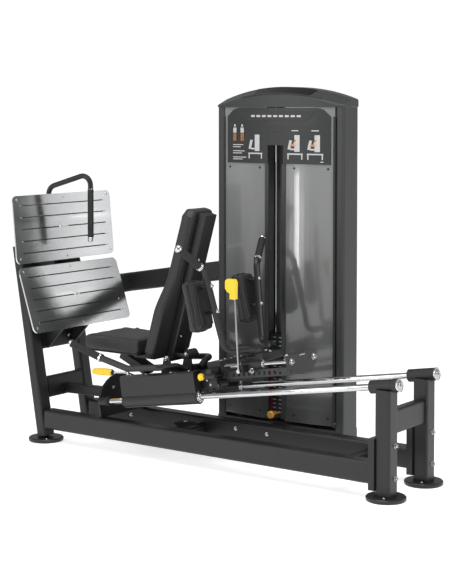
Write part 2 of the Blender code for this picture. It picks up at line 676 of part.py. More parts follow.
def build_shoulder_pads(owner):
    for side, sign in SIDES:
        points = ((-0.768, sign * 0.070, 0.5740), (-0.800, sign * 0.105, 0.5860),
                  (-0.893, sign * 0.155, 0.5720), (-0.968, sign * 0.216, 0.9580),
                  (-1.025, sign * 0.352, 1.0750))
        bent_tube(side + "_pad_arm", points, 0.0165, 0.045, BLACK_PAINT, owner)
        tilt = Matrix.Rotation(math.radians(-13.0), 4, "Y")
        place = Matrix.Translation((-1.024, sign * 0.200, 0.785)) @ tilt
        pad = box_mesh((0.075, 0.130, 0.250), place, 0.018, 3, True)
        solid(side + "_shoulder_pad", pad, VINYL, owner)


def build_release_lever(lever):
    foot, head = RELEASE_PIVOT, RELEASE_PIVOT + Vector((-0.024, 0.0, 0.342))
    stem = rod_mesh(foot, head + Vector((0, 0, 0.02)), 0.0045, 12)
    outline = [(-0.020, 0.0), (0.009, 0.0), (0.011, 0.080), (0.003, 0.095), (-0.037, 0.095),
               (-0.047, 0.085), (-0.047, 0.050), (-0.037, 0.035), (-0.020, 0.028)]
    turn = Matrix.Rotation(math.radians(90.0), 4, "X")
    handle = sheet_mesh(outline, 0.024, Matrix.Translation(head) @ turn)
    combine(solid("release_lever", handle, YELLOW, lever), stem, "release_lever_rod", "UNION")


def build_lock_pin(owner):
    """Sprung pin with a round pull knob, which locks the pad slide."""
    profile = ((0.0, 0.0), (0.004, 0.0), (0.004, 0.056), (0.010, 0.056), (0.010, 0.062),
               (0.017, 0.068), (0.018, 0.080), (0.013, 0.086), (0.0, 0.086))
    start = ramp_point(LOCK_PIN_START, LOCK_PIN_ACROSS, LOCK_PIN_HEIGHT)
    place = Matrix.Translation(start) @ Matrix.Rotation(-RAMP_ANGLE - math.radians(90.0), 4, "Y")
    turned("lock_pin", profile, place, YELLOW, owner, 20)


def build_tower_frame(owner):
    half = TOWER_HALF_WIDTH
    depth = (TOWER_FRONT + TOWER_BACK) / 2.0
    base = box_mesh((2.0 * half - 0.002, TOWER_BACK - TOWER_FRONT - 0.002, TOWER_BASE_TOP),
                    Matrix.Translation((TOWER_X, depth, TOWER_BASE_TOP / 2.0)), 0.004)
    frame = solid("tower_frame", base, GREY_PAINT, owner)
    for name, sign in (("tower_left_side", -1.0), ("tower_right_side", 1.0)):
        middle = TOWER_X + sign * (half - TOWER_SIDE_WIDTH / 2.0)
        low, high = TOWER_BASE_TOP - 0.010, TOWER_SHOULDER - FIT_GAP
        upright = box_mesh((high - low, TOWER_BACK - TOWER_FRONT, TOWER_SIDE_WIDTH),
                           aim((middle, depth, low), (middle, depth, high)), 0.012)
        combine(frame, upright, name, "UNION")

    def cap_top(x):
        return TOWER_CROWN - 0.062 * (x / half) ** 2

    build_cap(cap_top, owner)


def build_cap(cap_top, owner):
    """Moulded cap with a bowed front and back and an arched top."""
    steps = 20
    bm = bmesh.new()
    rings = []
    for step in range(steps + 1):
        x = -TOWER_HALF_WIDTH + 2.0 * TOWER_HALF_WIDTH * step / steps
        front, back, top = tower_y(x), tower_y(x, True), cap_top(x)
        brow = max(top - CAP_SLOPE_RISE, TOWER_SHOULDER + 0.012)
        corners = ((front, TOWER_SHOULDER), (back, TOWER_SHOULDER), (back, top - 0.008),
                   (back - 0.012, top), (front + CAP_SLOPE_DEPTH, top), (front + 0.006, brow),
                   (front, brow - 0.006))
        rings.append([bm.verts.new((TOWER_X + x, y, z)) for y, z in corners])
    count = len(rings[0])
    for ring, following in zip(rings, rings[1:]):
        for corner in range(count):
            after = (corner + 1) % count
            bm.faces.new((ring[corner], ring[after], following[after], following[corner]))
    bm.faces.new(rings[0])
    bm.faces.new(reversed(rings[-1]))
    solid("tower_cap", bm, GREY_PAINT, owner)


def build_tower_panels(owner):
    edge = TOWER_HALF_WIDTH - TOWER_SIDE_WIDTH - FIT_GAP
    top = TOWER_SHOULDER - FIT_GAP
    low = TOWER_BASE_TOP + 0.020
    slot = 0.055
    for name, left, right in (("tower_left_shield", -edge, -slot),
                              ("tower_right_shield", slot, edge)):
        bowed_sheet(name, left, right, lambda x: top, low, 0.005, 0.006, SMOKED, owner)
    bowed_sheet("tower_back_panel", -edge, edge, lambda x: top, TOWER_BASE_TOP + FIT_GAP, 0.004,
                0.004, GREY_PAINT, owner, True)


def build_instruction_board(owner):
    half = 0.315

    def arch(x):
        return 1.7350 - 0.045 * max(0.0, (abs(x) - 0.24) / 0.075) ** 2

    board = bowed_sheet("instruction_board", -half, half, arch, 1.452, 0.004, 0.0015, PRINTED,
                        owner, False, 16)
    notch = box_mesh((0.096, 0.2, 0.170), Matrix.Translation((TOWER_X, TOWER_FRONT, 1.528)))
    cut(board, notch, "board_notch")


def build_weight_stack(owner, stack):
    depth_middle = (STACK_DEPTH.x + STACK_DEPTH.y) / 2.0
    for name, sign in (("left_stack_rod", -1.0), ("right_stack_rod", 1.0)):
        x = TOWER_X + sign * STACK_ROD_OFFSET
        rod(name, (x, depth_middle, TOWER_BASE_TOP + FIT_GAP),
            (x, depth_middle, TOWER_SHOULDER - FIT_GAP), 0.0095, CHROME, owner)
    weight_block("resting_weights", owner, WEIGHT_BOTTOM, RESTING_WEIGHTS)
    lifted_bottom = WEIGHT_BOTTOM + RESTING_WEIGHTS * WEIGHT_PITCH + FIT_GAP
    weight_block("lifted_weights", stack, lifted_bottom, LIFTED_WEIGHTS)


def weight_block(name, owner, bottom, count):
    """A pile of stack weights, each with a groove below it, and holes for the two rods."""
    outline = [(0.130, bottom)]
    for index in range(count):
        top = bottom + (index + 1) * WEIGHT_PITCH
        outline.append((0.130, top - 0.004))
        if index < count - 1:
            outline += [(0.124, top - 0.003), (0.124, top - 0.001), (0.130, top)]
        else:
            outline.append((0.126, top))
    outline += [(-x, z) for x, z in reversed(outline)]
    depth_middle = (STACK_DEPTH.x + STACK_DEPTH.y) / 2.0
    turn = Matrix.Rotation(math.radians(90.0), 4, "X")
    place = Matrix.Translation((TOWER_X, depth_middle, 0.0)) @ turn
    block = solid(name, sheet_mesh(outline, STACK_DEPTH.y - STACK_DEPTH.x, place), CAST_IRON,
                  owner)
    top = bottom + count * WEIGHT_PITCH
    for index, sign in enumerate((-1.0, 1.0)):
        x = TOWER_X + sign * STACK_ROD_OFFSET
        bore = rod_mesh((x, depth_middle, bottom - 0.05), (x, depth_middle, top + 0.05), 0.0103)
        cut(block, bore, f"{name}_bore_{index}")


def build_selector(pin):
    front = STACK_DEPTH.x - FIT_GAP
    height = WEIGHT_BOTTOM + 1.5 * WEIGHT_PITCH
    profile = ((0.0, 0.0), (0.005, 0.0), (0.005, 0.072), (0.010, 0.074), (0.019, 0.078),
               (0.019, 0.090), (0.014, 0.095), (0.0, 0.095))
    place = Matrix.Translation((TOWER_X - 0.012, front, height)) @ Matrix.Rotation(
        math.radians(90.0), 4, "X")
    turned("selector_pin", profile, place, YELLOW, pin, 20)


def build_base_pulley(owner):
    profile = ((0.0, 0.0), (0.058, 0.0), (0.060, 0.003), (0.052, 0.010), (0.052, 0.018),
               (0.060, 0.025), (0.056, 0.028), (0.020, 0.034), (0.0, 0.034))
    turned("base_pulley", profile, Matrix.Translation((-1.250, 0.0, 0.1306)), RUBBER, owner)


DESIGN_PLACE = {}
clear_scene()
machine = pivot("machine", (0.0, 0.0, 0.0))
carriage_body = pivot("carriage_frame", ramp_point(-1.2, 0.0, 0.0), machine)
seat_body = pivot("seat_frame", SEAT_PIVOT, carriage_body)
backrest_body = pivot("backrest_frame_pivot", BACKREST_PIVOT, carriage_body)
pad_body = pivot("pad_carrier_frame", ramp_point(-0.76, 0.0, SLIDE_ROD_HEIGHT), carriage_body)
seat_lever_body = pivot("seat_lever_pivot", (-1.512, -0.130, 0.402), carriage_body)
release_body = pivot("release_lever_pivot", RELEASE_PIVOT, pad_body)
lock_body = pivot("lock_pin_axis", ramp_point(LOCK_PIN_START, LOCK_PIN_ACROSS, LOCK_PIN_HEIGHT),
                  carriage_body)
stack_body = pivot("lifted_stack", (TOWER_X, 0.505, WEIGHT_BOTTOM), machine)
selector_body = pivot("selector_axis", (TOWER_X, STACK_DEPTH.x, WEIGHT_BOTTOM), stack_body)
pulley_body = pivot("base_pulley_axis", (-1.250, 0.0, 0.1306), machine)

build_base(machine)
build_floor_link(machine)
build_rod_posts(machine)
build_foot_end(machine)
build_foot_plates(machine)
build_plate_brackets(machine)
build_plate_handle(machine)
build_link_beam(machine)
build_tower_frame(machine)
build_tower_panels(machine)
build_instruction_board(machine)
build_weight_stack(machine, stack_body)
build_selector(selector_body)
build_base_pulley(pulley_body)
build_carriage(carriage_body)
build_side_handles(carriage_body)
build_seat(carriage_body, seat_body)
build_seat_lever(seat_lever_body)
build_pivot_pin(carriage_body)
build_backrest(backrest_body)
build_pad_slide(carriage_body)
build_pad_carrier(pad_body)
build_shoulder_pads(pad_body)
build_release_lever(release_body)
build_lock_pin(lock_body)
machine.location = (SHIFT_X, SHIFT_Y, 0.0)
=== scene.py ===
import math

import bmesh
import bpy
from mathutils import Matrix, Vector


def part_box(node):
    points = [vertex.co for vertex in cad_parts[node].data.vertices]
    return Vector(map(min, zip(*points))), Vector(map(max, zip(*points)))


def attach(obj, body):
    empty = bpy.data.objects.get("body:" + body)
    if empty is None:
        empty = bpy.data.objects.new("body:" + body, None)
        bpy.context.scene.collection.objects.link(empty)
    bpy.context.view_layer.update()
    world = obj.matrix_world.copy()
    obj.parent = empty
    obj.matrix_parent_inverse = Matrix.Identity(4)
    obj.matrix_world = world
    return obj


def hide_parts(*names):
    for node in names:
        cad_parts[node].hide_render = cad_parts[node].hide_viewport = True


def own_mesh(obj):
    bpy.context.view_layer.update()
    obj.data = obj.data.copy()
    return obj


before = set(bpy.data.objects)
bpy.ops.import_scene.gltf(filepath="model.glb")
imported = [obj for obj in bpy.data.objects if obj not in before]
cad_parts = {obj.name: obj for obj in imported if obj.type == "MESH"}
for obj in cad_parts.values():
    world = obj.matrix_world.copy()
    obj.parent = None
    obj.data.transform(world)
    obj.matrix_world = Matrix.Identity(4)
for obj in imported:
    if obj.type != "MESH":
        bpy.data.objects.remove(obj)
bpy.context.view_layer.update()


# Studio: a pale floor that runs out of sight under a white surround, which shows brighter than
# it lights. Soft boxes above, in front and to the right give the broad light. A tall card and a
# thin strip draw the bright bands on the foot plates and down the tower's sheets.
def softbox(name, place, target, width, height, power):
    lamp = bpy.data.lights.new(name, "AREA")
    lamp.shape = "RECTANGLE"
    lamp.size, lamp.size_y, lamp.energy = width, height, power
    item = bpy.data.objects.new(name, lamp)
    bpy.context.scene.collection.objects.link(item)
    item.location = place
    item.rotation_euler = (Vector(target) - Vector(place)).to_track_quat("-Z", "Y").to_euler()


softbox("overhead_softbox", (0.3, -1.2, 4.2), (0.0, 0.0, 0.4), 3.0, 2.0, 110.0)
softbox("front_softbox", (-2.6, -5.0, 2.8), (0.0, 0.0, 0.7), 2.0, 2.6, 60.0)
softbox("right_strip", (4.6, -0.6, 1.9), (0.2, 0.2, 0.9), 0.9, 2.6, 55.0)
softbox("far_card", (3.25, 4.9, 2.1), (-0.95, 0.05, 1.0), 0.42, 2.8, 6.5)
softbox("sheet_strip", (-2.2, -4.7, 0.72), (0.25, 0.3, 1.1), 0.12, 0.90, 9.0)

surround = bpy.data.worlds.new("studio_surround")
bpy.context.scene.world = surround
surround.use_nodes = True
backdrop = surround.node_tree.nodes["Background"]
backdrop.inputs["Strength"].default_value = 1.02
rays = surround.node_tree.nodes.new("ShaderNodeLightPath")
dimmer = surround.node_tree.nodes.new("ShaderNodeMix")
dimmer.data_type = "RGBA"
dimmer.inputs[6].default_value = (0.40, 0.40, 0.41, 1.0)
dimmer.inputs[7].default_value = (1.0, 1.0, 1.0, 1.0)
surround.node_tree.links.new(rays.outputs["Is Camera Ray"], dimmer.inputs[0])
surround.node_tree.links.new(dimmer.outputs[2], backdrop.inputs["Color"])
bpy.context.scene.view_settings.view_transform = "Standard"

floor_mesh = bmesh.new()
bmesh.ops.create_grid(floor_mesh, x_segments=1, y_segments=1, size=60.0,
                      matrix=Matrix.Translation((0.0, 0.0, -0.0005)))
floor_data = bpy.data.meshes.new("studio_floor")
floor_mesh.to_mesh(floor_data)
studio_floor = bpy.data.objects.new("studio_floor", floor_data)
bpy.context.scene.collection.objects.link(studio_floor)
floor_paint = bpy.data.materials.new("studio_floor_paint")
floor_paint.use_nodes = True
floor_shader = floor_paint.node_tree.nodes["Principled BSDF"]
floor_shader.inputs["Base Color"].default_value = (0.80, 0.80, 0.80, 1.0)
floor_shader.inputs["Roughness"].default_value = 1.0
floor_shader.inputs["Specular IOR Level"].default_value = 0.0
floor_shader.inputs["Emission Color"].default_value = (1.0, 1.0, 1.0, 1.0)
floor_shader.inputs["Emission Strength"].default_value = 0.72
floor_data.materials.append(floor_paint)

# Camera: eye height, off the machine's right front corner, through a long lens.
lens = bpy.data.cameras.new("studio_camera")
lens.sensor_fit, lens.sensor_width, lens.lens, lens.shift_y = "HORIZONTAL", 36.0, 118.0, -0.2544
camera = bpy.data.objects.new("studio_camera", lens)
bpy.context.scene.collection.objects.link(camera)
camera.location = (4.3008, -5.9547, 1.7288)
camera.rotation_euler = (math.radians(87.373), 0.0, math.radians(35.890))
bpy.context.scene.camera = camera


# Welded frame: rails, posts, leaning columns and their ties, in black textured powder coat.
# The coat has a fine orange peel and is a little duller in clouds.
class Signal:
    """A shader socket; + - * on it add Math nodes, and node() adds any other node."""

    def __init__(self, tree, socket=None):
        self.tree, self.socket = tree, socket

    def node(self, kind, settings, inputs, output=0):
        made = self.tree.nodes.new("ShaderNode" + kind)
        for name, value in settings.items():
            setattr(made, name, value)
        for name, value in inputs.items():
            if isinstance(value, Signal):
                self.tree.links.new(value.socket, made.inputs[name])
            else:
                made.inputs[name].default_value = value
        return Signal(self.tree, made.outputs[output])

    def maths(self, operation, first, second=0.0):
        return self.node("Math", {"operation": operation}, {0: first, 1: second})

    def __add__(self, other):
        return self.maths("ADD", self, other)

    def __sub__(self, other):
        return self.maths("SUBTRACT", self, other)

    def __rsub__(self, other):
        return self.maths("SUBTRACT", other, self)

    def __mul__(self, other):
        return self.maths("MULTIPLY", self, other)

    __radd__, __rmul__ = __add__, __mul__

    def above(self, level):
        return self.maths("GREATER_THAN", self, level)

    def blend(self, first, second):
        """Colour that goes from first to second as this value goes from 0 to 1."""
        colours = [c if isinstance(c, Signal) else (*c, 1.0) for c in (first, second)]
        return self.node("Mix", {"data_type": "RGBA"}, {0: self, 6: colours[0], 7: colours[1]}, 2)

    def noise(self, scale, detail=2.0):
        return self.node("TexNoise", {}, {"Vector": self, "Scale": scale, "Detail": detail})

    def stretched(self, factors):
        return self.node("Mapping", {}, {"Vector": self, "Scale": factors})

    def relief(self, strength, distance):
        return self.node("Bump", {}, {"Height": self, "Strength": strength, "Distance": distance})


def new_finish(name, roughness, metallic=0.0, **fixed):
    """A finish with its shader's plain numbers set, and its object coordinates."""
    made = bpy.data.materials.new(name)
    made.use_nodes = True
    shader = made.node_tree.nodes["Principled BSDF"]
    shader.inputs["Roughness"].default_value = roughness
    shader.inputs["Metallic"].default_value = metallic
    for words, value in fixed.items():
        shader.inputs[words.replace("_", " ")].default_value = value
    place = Signal(made.node_tree).node("TexCoord", {}, {}, "Object")
    return made, shader, place


def feed(shader, **signals):
    for words, value in signals.items():
        socket = shader.inputs[words.replace("_", " ")]
        if isinstance(value, Signal):
            value.tree.links.new(value.socket, socket)
        else:
            socket.default_value = (*value, 1.0)


def powder_coat(name, shade, roughness):
    made, shader, place = new_finish(name, roughness, Specular_IOR_Level=0.42)
    clouds, peel = place.noise(4.0, 3.0), place.noise(900.0, 1.0)
    darker = tuple(0.86 * channel for channel in shade)
    feed(shader, Base_Color=clouds.blend(darker, shade),
         Roughness=clouds * 0.10 + peel * 0.08 + (roughness - 0.09),
         Normal=peel.relief(0.20, 0.0004))
    return made


def finish_nodes(finish, *names):
    for name in names:
        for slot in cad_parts[name].material_slots:
            slot.material = finish


black_coat = powder_coat("black_powder_coat", (0.0115, 0.0118, 0.0125), 0.40)
finish_nodes(black_coat, "near_base_rail", "far_base_rail", "near_rod_post", "far_rod_post",
             "middle_base_cross_tube", "right_base_cross_tube", "post_cross_tube",
             "tower_floor_link", "near_column", "far_column", "lower_column_tie",
             "middle_column_tie", "upper_column_tie", "rod_end_plate", "near_plate_bracket",
             "far_plate_bracket", "tower_link_beam", "near_left_foot", "far_left_foot",
             "near_right_foot", "far_right_foot")


# Frame fasteners: zinc-bright cap bolts on washers through the posts, rails, columns and feet.
# Each is a spun washer and dome with a hexagon socket sunk in its top.
chrome, chrome_shader, chrome_place = new_finish("chrome_plate", 0.09, 1.0)
plating = chrome_place.noise(35.0, 3.0)
feed(chrome_shader, Base_Color=plating.blend((0.50, 0.50, 0.51), (0.60, 0.60, 0.61)),
     Roughness=plating * 0.10 + 0.04)

MACHINE_SHIFT = Vector((1.07315, -0.1125, 0.0))
HALF_GAUGE = 0.174
RAMP = (Matrix.Translation(MACHINE_SHIFT + Vector((0.0, 0.0, 0.508)))
        @ Matrix.Rotation(math.radians(-9.0), 4, "Y"))


def spot(x, y, z):
    """A point measured from the rod posts, along the machine's long axis."""
    return MACHINE_SHIFT + Vector((x, y, z))


def on_ramp(along, across, height):
    """A point from its distance along the guide rods, across them, and above their axes."""
    return RAMP @ Vector((along, across, height))


def facing(place, direction):
    """Matrix at place whose Z axis points along direction."""
    return (Matrix.Translation(place)
            @ Vector(direction).to_track_quat("Z", "Y").to_matrix().to_4x4())


def spin_profile(bm, profile, place, sides=24):
    """Spins (radius, height) points round place's Z axis into a closed body."""
    points = [bm.verts.new((radius, 0.0, height)) for radius, height in profile]
    edges = [bm.edges.new(pair) for pair in zip(points, points[1:])]
    before = set(bm.verts) - set(points)
    bmesh.ops.spin(bm, geom=points + edges, axis=(0, 0, 1), cent=(0, 0, 0), dvec=(0, 0, 0),
                   steps=sides, angle=math.tau, use_merge=True, use_duplicate=False)
    fresh = [v for v in bm.verts if v not in before]
    bmesh.ops.transform(bm, matrix=place, verts=fresh)


def block(bm, size, place, bevel=0.0015, segments=2):
    made = bmesh.ops.create_cube(bm, size=1.0)["verts"]
    bmesh.ops.scale(bm, vec=size, verts=made)
    rims = {edge for vert in made for edge in vert.link_edges}
    if bevel:
        out = bmesh.ops.bevel(bm, geom=list(rims), offset=bevel, segments=segments,
                              affect="EDGES", profile=0.5, material=-1)
        made = list({v for face in out["faces"] for v in face.verts}
                    | {v for v in made if v.is_valid})
    bmesh.ops.transform(bm, matrix=place, verts=made)
    return made


def finished(name, bm, finish, body, sharp=35.0):
    """The object of a mesh that is whole: merged, facing outwards, riding on its body."""
    bmesh.ops.remove_doubles(bm, verts=bm.verts, dist=0.00002)
    bmesh.ops.recalc_face_normals(bm, faces=bm.faces)
    for face in bm.faces:
        face.smooth = True
    for edge in bm.edges:
        edge.smooth = len(edge.link_faces) == 2 and edge.calc_face_angle() < math.radians(sharp)
    data = bpy.data.meshes.new(name)
    bm.to_mesh(data)
    bm.free()
    data.materials.append(finish)
    item = bpy.data.objects.new(name, data)
    bpy.context.scene.collection.objects.link(item)
    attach(item, body)
    return item


def bolt(bm, place, direction, radius, stand=0.0):
    """Washer and domed head with a hexagon socket; stand lifts it on a stub."""
    foot = facing(place, direction)
    washer, head = 1.35 * radius, 0.75 * radius + stand
    spin_profile(bm, ((0.0, -0.001), (washer, -0.001), (washer, 0.0012), (washer - 0.0006, 0.0018),
                      (radius, 0.0018), (radius, 0.6 * head), (0.86 * radius, 0.9 * head),
                      (0.60 * radius, head), (0.50 * radius, head), (0.46 * radius, 0.55 * head),
                      (0.0, 0.50 * head)), foot, 18)


frame_bolts = bmesh.new()
for side in (-1.0, 1.0):
    y = side * HALF_GAUGE
    for height in (0.097, 0.244):
        bolt(frame_bolts, spot(0.038, y + 0.014, height), (1, 0, 0), 0.0085, 0.006)
    for x, across in ((0.018, -0.052), (-0.055, 0.020)):
        bolt(frame_bolts, spot(x, y + across, 0.020), (0, 0, 1), 0.0055)
    bolt(frame_bolts, spot(-1.987, y - 0.048, 0.020), (0, 0, 1), 0.0055)
    bolt(frame_bolts, spot(-2.075, y - side * 0.0398, 0.253), (0, -side, 0), 0.0075, 0.002)
    bolt(frame_bolts, spot(-2.165, y - side * 0.0398, 0.760), (0, -side, 0), 0.0075, 0.002)
    for x, height in ((-1.715, 0.120), (-1.039, 0.133), (-0.850, 0.128)):
        bolt(frame_bolts, spot(x, y - side * 0.038, height), (0, -side, 0), 0.0072, 0.002)
for x in (-1.330, -0.626):
    bolt(frame_bolts, spot(x, 0.4297, 0.095), (0, -1, 0), 0.0055)
finished("frame_bolts", frame_bolts, chrome, "frame")

tie_bolts = bmesh.new()
for across in (-0.070, 0.070):
    bolt(tie_bolts, spot(-2.0915, across, 0.5200), (0.985, 0, 0.172), 0.0075)
    bolt(tie_bolts, on_ramp(-1.6738, across, 0.060), (0.9877, 0, 0.1564), 0.0075)
finished("tie_bolts", tie_bolts, chrome, "frame")


# Guide rods: ground and hard-chromed shafts, each held in a clamp with a chromed end cap and
# stopped by a rubber bumper ring at both ends of its travel.
finish_nodes(chrome, "near_guide_rod", "far_guide_rod")
rod_caps, bumpers = bmesh.new(), bmesh.new()
for side in (-1.0, 1.0):
    y = side * HALF_GAUGE
    spin_profile(rod_caps, ((0.0, 0.0005), (0.0305, 0.0005), (0.0310, 0.0020), (0.0310, 0.0060),
                            (0.0290, 0.0078), (0.0250, 0.0078), (0.0240, 0.0066),
                            (0.0110, 0.0074), (0.0100, 0.0095), (0.0060, 0.0105),
                            (0.0055, 0.0070), (0.0, 0.0068)),
                 facing(on_ramp(0.0620, y, 0.0), on_ramp(1, 0, 0) - on_ramp(0, 0, 0)), 40)
    spin_profile(bumpers, ((0.0153, 0.0), (0.0225, 0.0), (0.0245, 0.002), (0.0250, 0.012),
                           (0.0225, 0.016), (0.0153, 0.016), (0.0153, 0.0)),
                 facing(on_ramp(-1.6313, y, 0.0), on_ramp(1, 0, 0) - on_ramp(0, 0, 0)), 32)
finished("rod_end_caps", rod_caps, chrome, "frame")

black_rubber, rubber_shader, rubber_place = new_finish("black_rubber", 0.78)
rubber_grain = rubber_place.noise(420.0, 3.0)
feed(rubber_shader, Base_Color=rubber_place.noise(30.0).blend((0.007, 0.007, 0.007),
                                                            (0.013, 0.013, 0.0125)),
     Roughness=rubber_grain * 0.20 + 0.62, Normal=rubber_grain.relief(0.35, 0.0006))
finished("rod_bumpers", bumpers, black_rubber, "frame")


# Foot plates: two sheets of satin-bright steel, polished along their width. A black rubber strip
# fills each slot for grip, and small screws hold the sheets to two upright webs behind.
plate_steel, plate_shader, plate_place = new_finish("polished_plate_steel", 0.12, 1.0,
                                                    Anisotropic=0.45)
brushing = plate_place.stretched((120.0, 2.5, 700.0)).noise(1.0, 2.0)
smears = plate_place.stretched((3.0, 2.0, 5.0)).noise(2.0, 3.0)
feed(plate_shader, Base_Color=smears.blend((0.58, 0.59, 0.59), (0.68, 0.69, 0.69)),
     Roughness=brushing * 0.06 + smears * 0.09 + 0.10, Normal=brushing.relief(0.05, 0.0002))
finish_nodes(plate_steel, "upper_foot_plate", "lower_foot_plate")

plate_screws, slot_inlays = bmesh.new(), bmesh.new()
FIRST_SLOT, SLOT_STEP, SLOT_SINK = 0.150, 0.175, 0.0045
for top, foot in (((-2.068, 1.285), (-2.035, 0.937)), ((-2.026, 0.917), (-1.916, 0.594))):
    down = Vector((foot[0] - top[0], 0.0, foot[1] - top[1]))
    out = Vector((-down.z, 0.0, down.x)).normalized()
    places = [(across, share) for across in (-0.350, 0.350) for share in (0.060, 0.930)]
    places += [(0.0, share) for share in (0.055, 0.500, 0.945)]
    for across, share in places:
        at = spot(top[0], across, top[1]) + down * share
        spin_profile(plate_screws, ((0.0, -0.0005), (0.0062, -0.0005), (0.0062, 0.0008),
                                    (0.0050, 0.0020), (0.0026, 0.0024), (0.0023, 0.0008),
                                    (0.0, 0.0006)), facing(at, out), 16)
    turn = Matrix(((0.0, 1.0, 0.0), -down.normalized(), out)).transposed().to_4x4()
    for index in range(5):
        pieces = ((-0.187, 0.286), (0.187, 0.286)) if index == 2 else ((0.0, 0.640),)
        fall = down * (FIRST_SLOT + SLOT_STEP * index)
        for across, length in pieces:
            at = spot(top[0], across, top[1]) + fall - out * SLOT_SINK
            block(slot_inlays, (length, 0.0056, 0.0055), Matrix.Translation(at) @ turn, 0.0008)
finished("foot_plate_screws", plate_screws, chrome, "frame")
finished("foot_plate_inlays", slot_inlays, black_rubber, "frame")


# Grab handle: a bent tube from behind the plates to in front of them, for the hand that steadies
# the user. A chromed ring marks where its grip starts and a chromed cap closes its end.
finish_nodes(black_coat, "foot_plate_handle")
HANDLE_X, HANDLE_Y, HANDLE_END, HANDLE_RING = -1.890, 0.020, 1.055, 1.300
handle_trim = bmesh.new()
spin_profile(handle_trim, ((0.0, -0.022), (0.0130, -0.022), (0.0155, -0.019), (0.0158, 0.000),
                           (0.0143, 0.002), (0.0143, 0.0), (0.0, 0.0)),
             facing(spot(HANDLE_X, HANDLE_Y, HANDLE_END), (0, 0, 1)))
spin_profile(handle_trim, ((0.0141, 0.0), (0.0156, 0.0005), (0.0158, 0.006), (0.0156, 0.0115),
                           (0.0141, 0.012), (0.0141, 0.0)),
             facing(spot(HANDLE_X, HANDLE_Y, HANDLE_RING), (0, 0, 1)))
finished("handle_trim", handle_trim, chrome, "frame")
rubber_sleeve = bmesh.new()
rings = [(0.0141, 0.002)]
for step in range(24):
    base = 0.004 + step * 0.0105
    rings += [(0.0158, base), (0.0160, base + 0.008), (0.0154, base + 0.0090),
              (0.0154, base + 0.0100)]
rings += [(0.0141, 0.258), (0.0141, 0.002)]
spin_profile(rubber_sleeve, rings, facing(spot(HANDLE_X, HANDLE_Y, HANDLE_END), (0, 0, 1)))
finished("handle_sleeve", rubber_sleeve, black_rubber, "frame")


# Weight tower: folded and bowed sheet in graphite powder coat under a moulded cap, with a dark
# window let into the slope above the cap's front.
graphite_coat = powder_coat("graphite_powder_coat", (0.026, 0.027, 0.0275), 0.42)
finish_nodes(graphite_coat, "tower_frame", "tower_cap", "tower_back_panel")

TOWER_X, TOWER_HALF = -0.978, 0.386
SLOPE_START, SLOPE_DEPTH, SLOPE_RISE, LOWEST_BROW = 0.006, 0.074, 0.036, 1.752


def tower_front(x, stand=0.0):
    """Y of the tower's bowed front at a distance x from its middle, stand in front of it."""
    return 0.430 - 0.035 * (1.0 - (x / TOWER_HALF) ** 2) - stand


def cap_height(x):
    """Height of the cap's arched top at a distance x from the tower's middle."""
    return 1.842 - 0.062 * (x / TOWER_HALF) ** 2


def thickened(bm, made, towards, thickness):
    """Turns a sheet's faces towards a direction and gives the sheet its thickness."""
    faces = list({face for vert in made for face in vert.link_faces})
    bmesh.ops.recalc_face_normals(bm, faces=faces)
    if faces[0].normal.dot(Vector(towards)) < 0:
        bmesh.ops.reverse_faces(bm, faces=faces)
    bmesh.ops.solidify(bm, geom=faces, thickness=-thickness)


def bowed_panel(bm, left, right, top, bottom, stand, thickness, columns=24, rows=1):
    """Panel that follows the tower's bowed front, between heights bottom(x) and top(x)."""
    made = bmesh.ops.create_grid(bm, x_segments=columns, y_segments=rows, size=0.5)["verts"]
    for vert in made:
        x = left + (right - left) * (vert.co.x + 0.5)
        low, high = bottom(x), top(x)
        vert.co = spot(TOWER_X + x, tower_front(x, stand), low + (high - low) * (vert.co.y + 0.5))
    rest = set(bm.faces)
    thickened(bm, made, (0, 1, 0), thickness)
    return [face for face in bm.faces if face not in rest]


gloss_black, gloss_shader, gloss_place = new_finish("gloss_black_lens", 0.22,
                                                    Specular_IOR_Level=0.12)
feed(gloss_shader, Base_Color=gloss_place.noise(12.0).blend((0.004, 0.004, 0.005),
                                                          (0.009, 0.009, 0.010)),
     Roughness=gloss_place.noise(25.0, 4.0) * 0.10 + 0.18)


def sloped_panel(bm, middle, half, low, high, stand, thickness):
    """Panel on the cap's sloping brow, low and high as shares of the slope."""
    made = bmesh.ops.create_grid(bm, x_segments=24, y_segments=4, size=0.5)["verts"]
    for vert in made:
        share = low + (high - low) * (vert.co.y + 0.5)
        x = middle + vert.co.x * 2.0 * half * (0.90 + 0.10 * (vert.co.y + 0.5))
        brow = max(cap_height(x) - SLOPE_RISE, LOWEST_BROW)
        vert.co = spot(TOWER_X + x,
                       tower_front(x) + SLOPE_START + SLOPE_DEPTH * share - 0.44 * stand,
                       brow + (cap_height(x) - brow) * share + 0.90 * stand)
    thickened(bm, made, (0, 0, 1), thickness)


lens_panel, cap_brow = bmesh.new(), bmesh.new()
sloped_panel(lens_panel, 0.020, 0.180, 0.10, 0.92, 0.0004, 0.003)
finished("cap_window", lens_panel, gloss_black, "frame")
sloped_panel(cap_brow, 0.020, 0.240, -0.02, 0.06, 0.0004, 0.004)
bowed_panel(cap_brow, -TOWER_HALF + 0.004, TOWER_HALF - 0.004, lambda x: 1.7440, lambda x: 1.7385,
            -0.0004, 0.0035)
finished("cap_ribs", cap_brow, graphite_coat, "frame")


